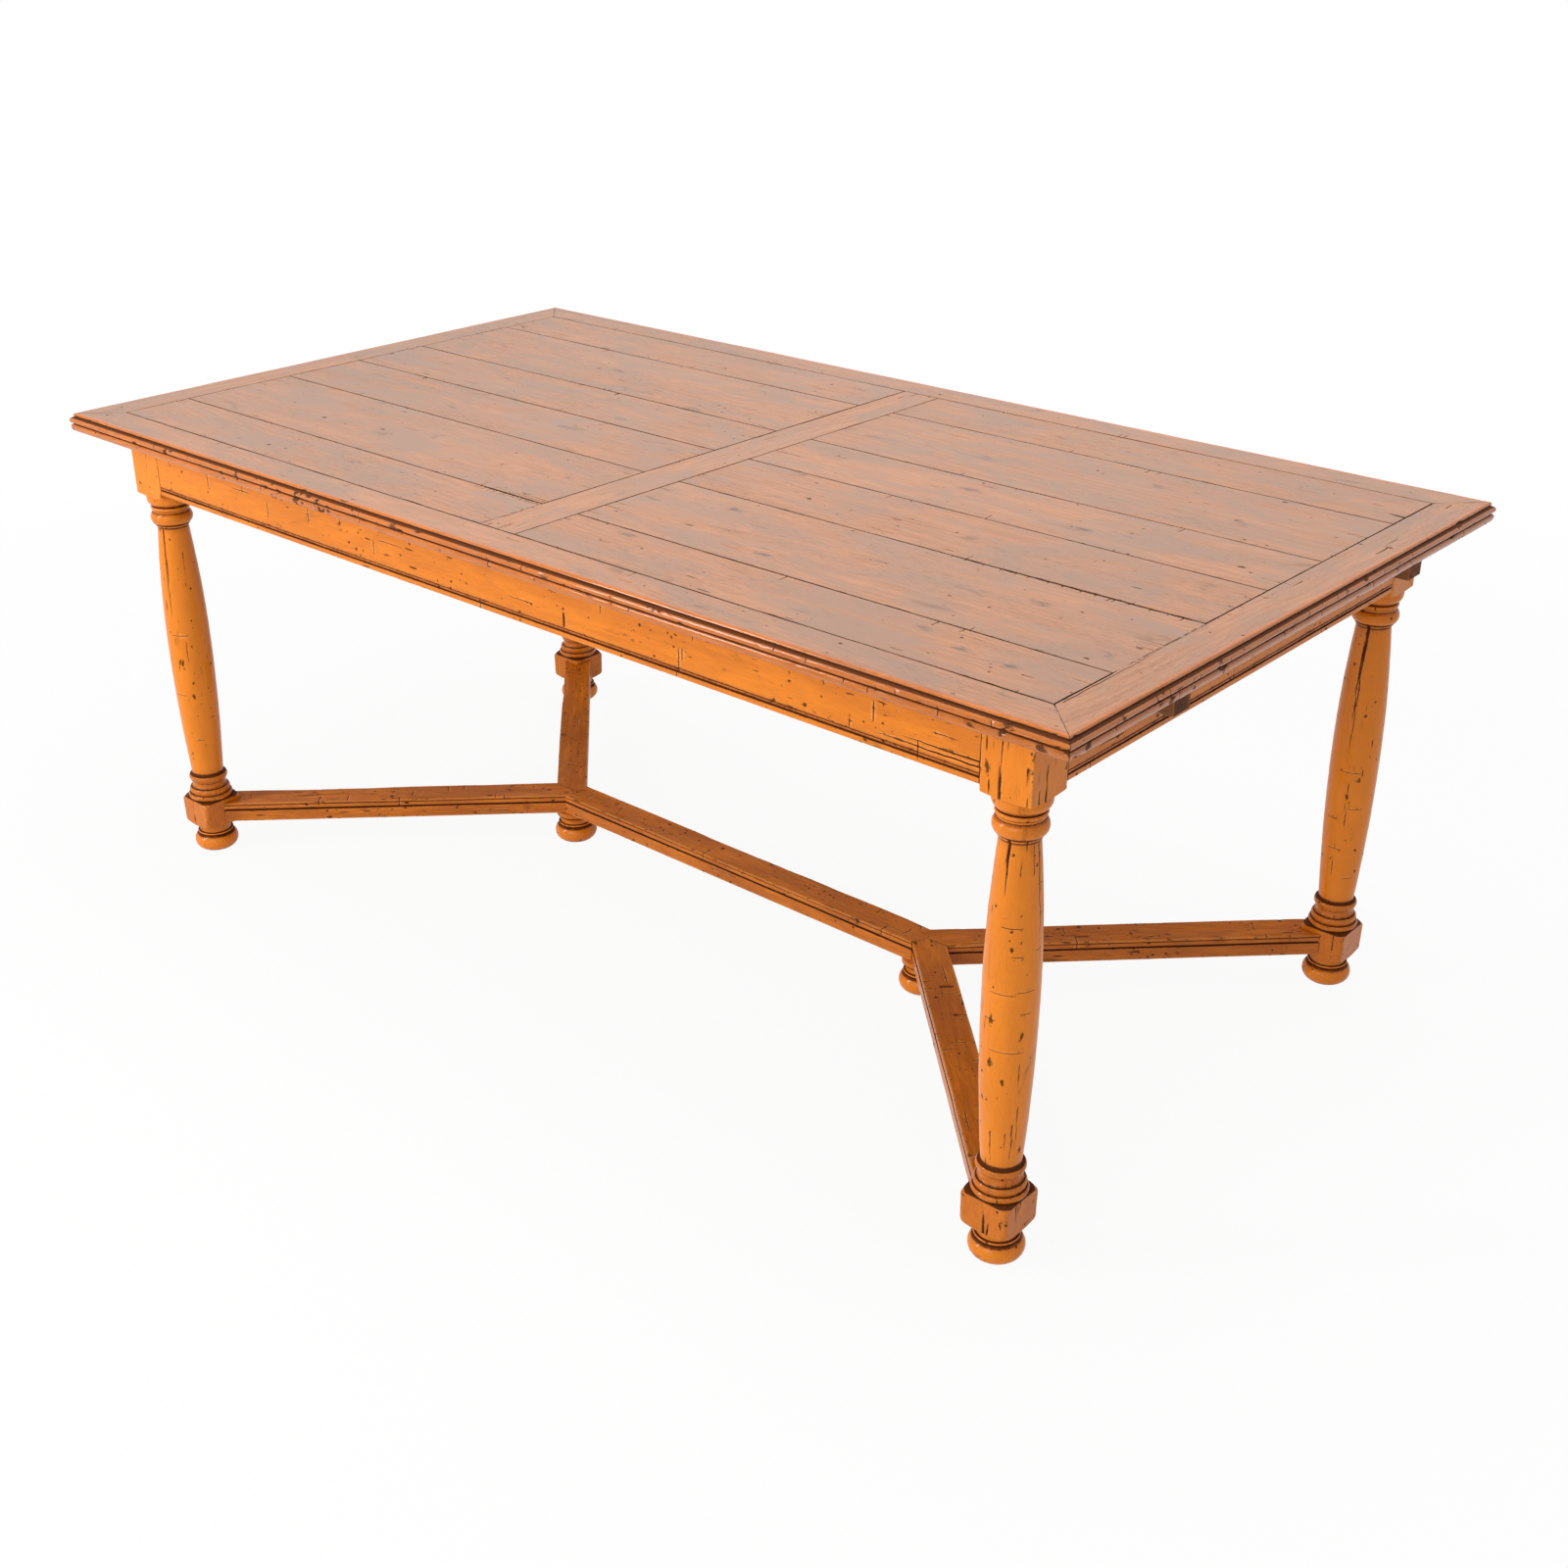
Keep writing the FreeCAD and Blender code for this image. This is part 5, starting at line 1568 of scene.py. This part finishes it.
class HARVEST_OT_drive_screws(bpy.types.Operator):
    """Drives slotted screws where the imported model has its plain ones"""

    bl_idname = "harvest.drive_screws"
    bl_label = "Drive the screws"

    def execute(self, context):
        places = vertex_places(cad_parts["top_screws"].data)
        centres = []
        for x, y, _ in places[np.argsort(places[:, 2], kind="stable")]:
            if all(math.hypot(x - other[0], y - other[1]) > screw_apart for other in centres):
                near = places[np.hypot(*(places[:, :2] - (x, y)).T) < screw_apart]
                low, high = near.min(0), near.max(0)
                centres.append(((low[0] + high[0]) / 2, (low[1] + high[1]) / 2, low[2] + 1.2 * mm))
        holder = new_object("screw_points", new_mesh("screw_points", centres))
        steel = {"Material": bpy.data.materials["plated_steel"]}
        screws = run_tree(holder, slotted_screw_tree(), steel)
        store(screws, "glaze", np.zeros(len(screws.vertices)))
        hand_over("slotted_screws", screws, "plated_steel", "top_screws", (0, 0, 1), 6000, 0.0)
        return {"FINISHED"}


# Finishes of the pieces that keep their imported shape, by how their names start.
plain_finishes = {
    "plated_steel": ("brace_bolts", "brace_nuts"),
    "raw_wood_upright": ("loper_pin",),
    "raw_wood_lengthwise": ("loper_guide", "loper_stops", "apron_cleat"),
    "raw_wood_crosswise": ("centre_bearer", "end_cleat", "mitre_splines"),
    "raw_wood_slanted": ("corner_brace", "stretcher_dowels"),
}


class HARVEST_OT_dress_under_frame(bpy.types.Operator):
    """Gives the plain pieces under the top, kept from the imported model, their finishes"""

    bl_idname = "harvest.dress_under_frame"
    bl_label = "Dress the under-frame"

    def execute(self, context):
        for (node, piece), (finish, starts) in product(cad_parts.items(), plain_finishes.items()):
            if node.startswith(starts):
                finish_with(piece.data, finish)
        return {"FINISHED"}


# Finishes


def wood_grain_group():
    """Growth rings, streaks and pores of sawn wood. Place runs along, across and into the board."""
    graph, inputs, outputs = new_tree("Wood Grain", "ShaderNodeTree", {
        "Place": origin, "Ring Pitch": 0.009, "Slope": 0.05,
    }, ["Rings", "Streaks", "Pores"])
    place = inputs["Place"]
    parts = graph.parts(place)
    bend = graph.streaks(place, 1.4, 6.0, 1.0, 4.0) - 0.5
    across = parts[1] + bend * 0.11
    depth = parts[2] + parts[0] * inputs["Slope"]
    reach = graph.math("SQRT", across * across + depth * depth)
    turns = reach * (2 * math.pi) / inputs["Ring Pitch"]
    rings = graph.math("SINE", turns).ramp(-0.3, 1.0)
    fine = graph.streaks(place, 24.0, 260.0, 1.0, 5.0, 0.68, 0.4)
    broad = graph.streaks(place, 5.5, 42.0, 1.0, 4.0, 0.6, 0.6)
    dots = graph.streaks(place, 75.0, 1300.0, 1.0, 1.0)
    open_grain = graph.streaks(place, 3.0, 14.0, 1.0, 3.0).ramp(0.42, 0.62)
    graph.feed(outputs["Rings"], rings * bend.ramp(-0.06, 0.06, 0.25, 1.0))
    graph.feed(outputs["Streaks"], (fine * 0.6 + broad * 0.4).ramp(0.39, 0.62))
    graph.feed(outputs["Pores"], dots.ramp(0.58, 0.70) * open_grain)
    return graph.tree


def age_marks_group():
    """Worm holes, short checks along the grain, scratches over it and dark bruises."""
    graph, inputs, outputs = new_tree("Age Marks", "ShaderNodeTree", {
        "Place": origin, "Amount": 0.5,
    }, ["Marks", "Bruises"])
    place = inputs["Place"]
    crowd = graph.noise(place, 9.0, 2.0).ramp(0.35, 0.65)
    chance = inputs["Amount"] * (crowd + 0.35)

    def flecks(scale, turn, size, share):
        """Dark flecks, one in some of the cells of a stretched pattern."""
        warped = graph.stretched(place, scale, turn)
        wobble = graph.noise(warped, 2.2, 3.0, output="Color")
        warped = graph.vector("ADD", warped, graph.vector("MULTIPLY", wobble, (0.45, 0.45, 0.45)))
        cells = graph.add("ShaderNodeTexVoronoi", {"Vector": warped, "Scale": 1.0}, feature="F1").outputs
        colour_of = {0: Signal(graph, cells["Color"])}
        chosen = [Signal(graph, part) for part in graph.add("ShaderNodeSeparateColor", colour_of).outputs]
        limit = 1.0 - chance * share
        present = chosen[0].ramp(limit, limit + 0.03)
        width = (chosen[1] * chosen[1] * 1.3 + 0.3) * size
        return Signal(graph, cells["Distance"]).ramp(width * 0.5, width, 1.0, 0.0) * present

    holes = flecks((90.0, 120.0, 120.0), 0.4, 0.22, 0.7)
    checks = flecks((20.0, 150.0, 150.0), 0.05, 0.17, 0.7)
    pits = flecks((38.0, 58.0, 58.0), 0.7, 0.15, 0.4)
    scratches = flecks((170.0, 14.0, 170.0), 0.25, 0.10, 0.6)
    bruise = graph.streaks(place, 8.0, 24.0, 1.0, 6.0, 0.66, 0.5)
    graph.feed(outputs["Marks"], holes.most(checks).most(pits).most(scratches * 0.8))
    graph.feed(outputs["Bruises"], bruise.ramp(0.60, 0.72) * crowd)
    return graph.tree


def edge_wear_and_light_group():
    """Lightens edges, partly as wear and partly as a painted highlight, marks dark nicks along them, and
    darkens hollows, partly as grime and partly as painted shade. Edge is above 0 on an edge.
    """
    graph, inputs, outputs = new_tree("Edge Wear And Light", "ShaderNodeTree", {
        "Place": origin, "Edge": 0.0,
    }, ["Rubbed", "Nicked", "Dirty And Shaded"])
    place, edge = inputs["Place"], inputs["Edge"]
    rough = graph.centred(place, 75.0, 4.0, 0.65)
    nicks = graph.streaks(place, 85.0, 130.0, 1.0, 4.0, 0.6).ramp(0.57, 0.66)
    # Lightens convex edges, partly as wear and partly as a painted highlight.
    graph.feed(outputs["Rubbed"], (edge + rough * 0.18).ramp(0.05, 0.17))
    graph.feed(outputs["Nicked"], nicks * edge.ramp(0.03, 0.13))
    # Darkens hollows, partly as grime and partly as painted shade.
    graph.feed(outputs["Dirty And Shaded"], (rough * 0.14 - edge).ramp(0.03, 0.15))
    return graph.tree


def glaze_and_shade_group():
    """Breaks up the stored glaze, which also carries painted shade in recesses and under overhangs, so that
    it fills grooves unevenly.
    """
    graph, inputs, outputs = new_tree("Glaze And Shade Fill", "ShaderNodeTree", {
        "Place": origin, "Stored": 0.0,
    }, ["Amount"])
    place, stored = inputs["Place"], inputs["Stored"]
    rough = graph.noise(place, 160.0, 4.0, 0.65) * 0.7 + graph.noise(place, 17.0, 2.0) * 0.5
    level = (stored + (rough - 0.6) * 0.9) * stored.ramp(0.02, 0.15)
    graph.feed(outputs["Amount"], level.ramp(0.38, 0.85))
    return graph.tree


def four(values):
    """A colour with its alpha."""
    return (*values[:3], 1.0)


def use_group(graph, name, **inputs):
    """The outputs of a shared node group, by name."""
    node = graph.add("ShaderNodeGroup", node_tree=bpy.data.node_groups[name])
    for label, value in inputs.items():
        graph.feed(node.inputs[label.replace("_", " ")], value)
    return {socket.name: Signal(graph, socket) for socket in node.outputs}


def upward(graph):
    """How far a surface faces up, from -1 to 1."""
    return graph.parts(graph.out("ShaderNodeNewGeometry", output="Normal"))[2]


def new_finish(name):
    """A new material, its node graph and the inputs of its surface."""
    material = bpy.data.materials.new(name)
    material.use_nodes = True
    return Graph(material.node_tree), material.node_tree.nodes["Principled BSDF"].inputs


def wood_finish(name, look, turn=None):
    """A finished wood: grain, patina, marks, edge wear and glaze on one surface, with a painted highlight on
    edges and painted shade in hollows.
    """
    graph, surface = new_finish(name)
    place = grain_place(graph, turn)
    stored = {
        label: graph.out("ShaderNodeAttribute", output="Fac", attribute_name=label)
        for label in ("glaze", "tone", "edge", "honey", "smudged", "knot")
    }
    tint = {key: four(value) for key, value in look.items() if key in colour_keys}
    grain = use_group(graph, "Wood Grain", Place=place, Ring_Pitch=look["pitch"], Slope=look["slope"])
    marks = use_group(graph, "Age Marks", Place=place, Amount=look["marks"])
    wear = use_group(graph, "Edge Wear And Light", Place=place, Edge=stored["edge"])
    glaze = use_group(graph, "Glaze And Shade Fill", Place=place, Stored=stored["glaze"])["Amount"]

    # Grain, patina and smudges
    figure = grain["Rings"] * look["rings"] + grain["Streaks"] * look["streaks"]
    figure = graph.math("ADD", figure, stored["tone"] * look["tones"], clamp=True)
    base = graph.mix(figure, tint["pale"], tint["deep"])
    cloud = graph.streaks(place, 4.5, 13.0, 1.3, 6.0, 0.62, 0.6)
    base = graph.mix(cloud.ramp(0.36, 0.66, 0.0, look["smoke_share"]), base, tint["smoke"])
    smudge = graph.streaks(place, 7.0, 20.0, 1.6, 5.0, 0.62, 1.0).ramp(0.61, 0.74, 0.0, look["smudge_share"])
    wisps = graph.streaks(place, 55.0, 150.0, 1.0, 5.0, 0.68, 0.6)
    loose = (stored["smudged"] + (wisps - 0.5) * 2.6).ramp(0.2, 1.0) * stored["smudged"].ramp(0.0, 0.3)
    base = graph.mix(smudge.most(loose * 0.85), base, tint["smudge"])

    # The honey finish along the edge of the top
    groove = tint["groove"]
    if "honey_pale" in look:
        rough = (graph.noise(place, 45.0, 3.0) - 0.55) * 0.7 * stored["honey"].ramp(0.0, 0.3)
        honey = graph.math("ADD", stored["honey"], rough, clamp=True)
        base = graph.mix(honey, base, graph.mix(figure, tint["honey_pale"], tint["honey_deep"]))
        groove = graph.mix(honey, groove, tint["honey_groove"])

    # Edges lightened as wear and as a painted highlight, dark marks, and glaze with painted shade in hollows
    base = graph.mix(wear["Rubbed"] * look["rub_and_highlight"], base, tint["rubbed_and_highlit"])
    knot = (stored["knot"] + (wisps - 0.5) * 2.4).ramp(0.42, 0.70) * stored["knot"].ramp(0.02, 0.15)
    dark = grain["Pores"] * look["pores"]
    for amount, share in (
        (marks["Bruises"], look["bruises"]), (marks["Marks"], 0.88), (wear["Nicked"], look["nicks"]),
        (knot, 0.85),
    ):
        dark = dark.most(amount * share)
    # A brown tint spreads from the stored glaze: partly stain along seams and grooves, partly painted shade.
    wash_and_shade = stored["glaze"].ramp(0.0, 0.5) * wisps.ramp(0.3, 0.7, 0.6, 1.0)
    base = graph.mix(wash_and_shade * look["wash_and_shade_share"], base, tint["wash_and_shade"])
    # Hollows darken towards the groove colour, partly as grime and partly as painted shade; the glaze, which
    # also carries painted shade, fills the grooves.
    base = graph.mix(wear["Dirty And Shaded"] * look["dirt_and_shade"], base, groove)
    base = graph.mix(glaze * 0.95, base, groove)
    base = graph.mix(dark, base, tint["glaze"])
    dark = dark.most(glaze)
    if look.get("raw"):
        raw = graph.mix(grain["Streaks"], four(look["raw"][0]), four(look["raw"][1]))
        base = graph.mix(upward(graph).ramp(-0.95, -0.8, 1.0, 0.0), base, raw)
    graph.feed(surface["Base Color"], base)

    # Gloss
    rough = graph.noise(place, 6.0, 3.0) * look["rough_spread"] + look["rough"]
    graph.feed(surface["Roughness"], graph.math("ADD", rough, dark * 0.25, clamp=True))
    surface["Specular IOR Level"].default_value = look["specular"]
    coat = (1.0 - dark) * look["coat"]
    if "honey_pale" in look:
        coat = coat * honey.ramp(0.0, 0.9, 0.25, 1.0)
    if "dull_top" in look:
        coat = coat * upward(graph).ramp(0.2, 0.7, 1.0, look["dull_top"])
    graph.feed(surface["Coat Weight"], coat)
    surface["Coat Roughness"].default_value = look["coat_rough"]

    # Relief too fine for the mesh
    height = grain["Streaks"] * look["relief"] - grain["Pores"] * 0.25 - marks["Marks"] - glaze * 0.35
    height = height + graph.noise(place, 55.0, 3.0) * 0.5
    bump = {"Strength": 0.6, "Distance": look["bump"], "Height": height}
    graph.feed(surface["Normal"], graph.out("ShaderNodeBump", bump))


def grain_place(graph, turn):
    """A rebuilt piece's own grain coordinates, or the place in the model after a turn."""
    if turn is None:
        return graph.out("ShaderNodeAttribute", output="Vector", attribute_name="grain")
    place = graph.out("ShaderNodeTexCoord", output="Object")
    shift = (1.7, 0.21, 0.06)
    return graph.out("ShaderNodeMapping", {"Vector": place, "Rotation": turn, "Location": shift})


def steel_finish(name, tint):
    """Dull zinc plating with darker spots."""
    graph, surface = new_finish(name)
    place = graph.out("ShaderNodeTexCoord", output="Object")
    spots = graph.noise(place, 420.0, 4.0, 0.6)
    spangle = graph.out("ShaderNodeTexVoronoi", {"Vector": place, "Scale": 900.0}, "Distance")
    shade = spots.ramp(0.35, 0.7, 0.0, 0.6)
    graph.feed(surface["Base Color"], graph.mix(shade, four(tint), (0.20, 0.17, 0.14, 1.0)))
    surface["Metallic"].default_value = 1.0
    graph.feed(surface["Roughness"], spots.ramp(0.3, 0.7, 0.32, 0.6))
    bump = {"Strength": 0.3, "Distance": 0.0002, "Height": spangle}
    graph.feed(surface["Normal"], graph.out("ShaderNodeBump", bump))


colour_keys = (
    "pale", "deep", "smoke", "smudge", "groove", "honey_pale", "honey_deep", "honey_groove", "rubbed_and_highlit",
    "wash_and_shade", "glaze",
)


class HARVEST_OT_mix_finishes(bpy.types.Operator):
    """Mixes the wood finishes and the steel from the colours in the panel"""

    bl_idname = "harvest.mix_finishes"
    bl_label = "Mix the finishes"

    def execute(self, context):
        tints = context.scene.harvest_finishes
        for make in (wood_grain_group, age_marks_group, edge_wear_and_light_group, glaze_and_shade_group):
            make()
        # In each look, the colour for lightened edges is partly a painted highlight, and the brown tint and
        # the share for hollows are partly painted shade.
        field = {
            "pale": tints.top_pale, "deep": tints.top_deep, "smoke": tints.top_smoke, "glaze": tints.glaze,
            "smudge": (0.15, 0.105, 0.085), "rubbed_and_highlit": (0.62, 0.30, 0.14), "groove": (0.060, 0.028, 0.014),
            "wash_and_shade": (0.27, 0.115, 0.058), "wash_and_shade_share": 0.55, "pitch": 0.0075, "slope": 0.045,
            "rings": 0.24, "streaks": 0.50, "tones": 0.20, "smoke_share": 0.95, "smudge_share": 0.5,
            "pores": 0.34, "marks": 0.16, "bruises": 0.28, "rub_and_highlight": 0.2, "nicks": 0.5, "dirt_and_shade": 0.45,
            "rough": 0.34, "rough_spread": 0.12, "specular": 0.14, "coat": 0.6, "coat_rough": 0.07,
            "relief": 0.3, "bump": 0.0004,
        }
        top = dict(
            field, honey_pale=(0.70, 0.180, 0.004), honey_deep=(0.40, 0.090, 0.003),
            honey_groove=(0.115, 0.030, 0.006), raw=(tints.raw_pale, tints.raw_deep),
        )
        base = {
            "pale": tints.base_pale, "deep": tints.base_deep, "smoke": tints.base_smoke, "glaze": tints.glaze,
            "smudge": (0.30, 0.070, 0.006), "rubbed_and_highlit": (1.0, 0.46, 0.13), "groove": (0.085, 0.022, 0.005),
            "wash_and_shade": (0.40, 0.085, 0.006), "wash_and_shade_share": 0.75, "pitch": 0.013, "slope": 0.03,
            "rings": 0.25, "streaks": 0.40, "tones": 0.18, "smoke_share": 0.30, "smudge_share": 0.5,
            "pores": 0.12, "marks": 0.85, "bruises": 0.6, "rub_and_highlight": 0.28, "nicks": 0.7, "dirt_and_shade": 0.6,
            "rough": 0.34, "rough_spread": 0.16, "specular": 0.1, "coat": 0.3, "coat_rough": 0.1,
            "relief": 0.15, "bump": 0.0006,
        }
        turned = dict(
            base, deep=(0.84, 0.230, 0.010), marks=0.5, bruises=0.5, streaks=0.3, tones=0.2,
            smoke_share=0.15, coat=0.32,
        )
        stretcher = dict(
            base, pale=(0.95, 0.285, 0.022), deep=(0.60, 0.155, 0.010), smoke_share=0.6, streaks=0.6,
            tones=0.6, marks=0.8, smudge_share=0.8, coat=0.35, specular=0.06, dull_top=0.12,
        )
        support = dict(
            base, pale=tints.support_pale, deep=tints.support_deep, smoke=(0.10, 0.07, 0.045),
            rubbed_and_highlit=(0.40, 0.22, 0.08), smoke_share=0.6, marks=0.5, coat=0.0, specular=0.3, rough=0.45,
        )
        bare = dict(
            field, pale=tints.raw_pale, deep=tints.raw_deep, smoke=(0.22, 0.13, 0.07), rough=0.6,
            specular=0.25, marks=0.3, smudge_share=0.25, coat=0.0,
        )
        for name, look in (
            ("worn_top", top), ("honey_base", base), ("turned_honey", turned),
            ("walked_stretcher", stretcher), ("dark_support", support),
        ):
            wood_finish(name, look)
        for way, turn in (
            ("lengthwise", (0, 0, 0)), ("crosswise", (0, 0, math.pi / 2)),
            ("slanted", (0, 0, math.pi / 4)), ("upright", (0, math.pi / 2, 0)),
        ):
            wood_finish("raw_wood_" + way, bare, turn)
        steel_finish("plated_steel", tints.steel)
        return {"FINISHED"}


# The stage


class HARVEST_OT_set_stage(bpy.types.Operator):
    """Sets the pale floor, the soft lamps and the camera"""

    bl_idname = "harvest.set_stage"
    bl_label = "Set the stage"

    def execute(self, context):
        scene = context.scene
        scene.view_settings.view_transform = "Standard"
        self.lay_floor()
        self.light_world(scene)
        for name, place, wide, tall, power in (
            ("key_lamp", (0.9, -3.9, 1.75), 2.2, 2.2, 38),
            ("strip_lamp", (-1.95, -3.05, 1.95), 0.55, 2.4, 58),
            ("top_lamp", (0.3, 0.1, 3.2), 2.4, 2.4, 50),
        ):
            lamp = new_object(name, bpy.data.lights.new(name, "AREA"))
            lamp.data.shape = "RECTANGLE"
            lamp.data.size = wide
            lamp.data.size_y = tall
            lamp.data.energy = power
            lamp.location = place
            aim = Vector((0.1, -0.1, 0.5)) - Vector(place)
            lamp.rotation_euler = aim.to_track_quat("-Z", "Y").to_euler()
        camera = new_object("camera", bpy.data.cameras.new("camera"))
        # The view that the photograph's perspective gives
        camera.data.sensor_width = 36
        camera.data.lens = 45.01
        camera.data.clip_start = 0.05
        camera.location = (1.95999, -2.11943, 1.62076)
        camera.rotation_euler = (math.pi / 2 - 0.45, 0, 0.719)
        scene.camera = camera
        return {"FINISHED"}

    @staticmethod
    def seen(graph):
        """1 for rays from the camera, and for those seen in gloss or through glass."""
        path = graph.add("ShaderNodeLightPath").outputs
        rays = [Signal(graph, path["Is %s Ray" % kind]) for kind in ("Camera", "Glossy", "Transmission")]
        return rays[0].most(rays[1]).most(rays[2])

    def lay_floor(self):
        """A wide white floor that keeps a soft shadow."""
        half = 40.0
        outer = [(-half, -half, 0), (half, -half, 0), (half, half, 0), (-half, half, 0)]
        floor = new_object("floor", new_mesh("floor", outer, faces=[(0, 1, 2, 3)]))
        material = bpy.data.materials.new("white_floor")
        material.use_nodes = True
        graph = Graph(material.node_tree)
        graph.tree.nodes.clear()
        matt = graph.out("ShaderNodeBsdfDiffuse", {"Color": (0.86, 0.86, 0.86, 1.0)})
        glow = graph.out("ShaderNodeEmission", {"Color": (1.0, 1.0, 1.0, 1.0), "Strength": 1.0})
        place = graph.out("ShaderNodeTexCoord", output="Object")
        distance = graph.vector("LENGTH", place, output="Value")
        share = self.seen(graph) * distance.ramp(1.2, 3.5, 0.93, 1.0)
        mixed = graph.out("ShaderNodeMixShader", {0: share, 1: matt, 2: glow})
        graph.add("ShaderNodeOutputMaterial", {"Surface": mixed})
        floor.data.materials.append(material)

    def light_world(self, scene):
        """An even pale surround, white where it is seen."""
        world = bpy.data.worlds.new("studio")
        scene.world = world
        world.use_nodes = True
        graph = Graph(world.node_tree)
        graph.tree.nodes.clear()
        shade = {"Color": (1.0, 1.0, 1.0, 1.0), "Strength": self.seen(graph) * 0.60 + 0.40}
        graph.add("ShaderNodeOutputWorld", {"Surface": graph.out("ShaderNodeBackground", shade)})


# The panel and its registration

steps = (
    HARVEST_OT_mix_finishes, HARVEST_OT_lay_planks, HARVEST_OT_fit_centre_board,
    HARVEST_OT_mould_borders, HARVEST_OT_mould_aprons, HARVEST_OT_turn_legs, HARVEST_OT_turn_feet,
    HARVEST_OT_mould_stretcher, HARVEST_OT_slide_supports, HARVEST_OT_drive_screws,
    HARVEST_OT_dress_under_frame, HARVEST_OT_set_stage,
)
settings = {
    "harvest_top": HarvestTopSizes,
    "harvest_base": HarvestBaseSizes,
    "harvest_finishes": HarvestFinishes,
}


class HARVEST_PT_table(bpy.types.Panel):
    """Lists the table's sizes, finishes and making steps"""

    bl_idname = "HARVEST_PT_table"
    bl_label = "Harvest Table"
    bl_space_type = "VIEW_3D"
    bl_region_type = "UI"
    bl_category = "Harvest Table"

    def draw(self, context):
        for step in steps:
            self.layout.operator(step.bl_idname)
        for name, group in settings.items():
            box = self.layout.box()
            for field in group.__annotations__:
                box.prop(getattr(context.scene, name), field)


def register():
    for group in (*settings.values(), *steps, HARVEST_PT_table):
        bpy.utils.register_class(group)
    for name, group in settings.items():
        setattr(bpy.types.Scene, name, bpy.props.PointerProperty(type=group))


def unregister():
    for name in settings:
        delattr(bpy.types.Scene, name)
    for group in (HARVEST_PT_table, *reversed(steps), *settings.values()):
        bpy.utils.unregister_class(group)


def main():
    """Registers the add-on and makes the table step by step."""
    register()
    for step in steps:
        group, name = step.bl_idname.split(".")
        getattr(getattr(bpy.ops, group), name)()
    bpy.context.view_layer.update()


if __name__ == "__main__":
    main()
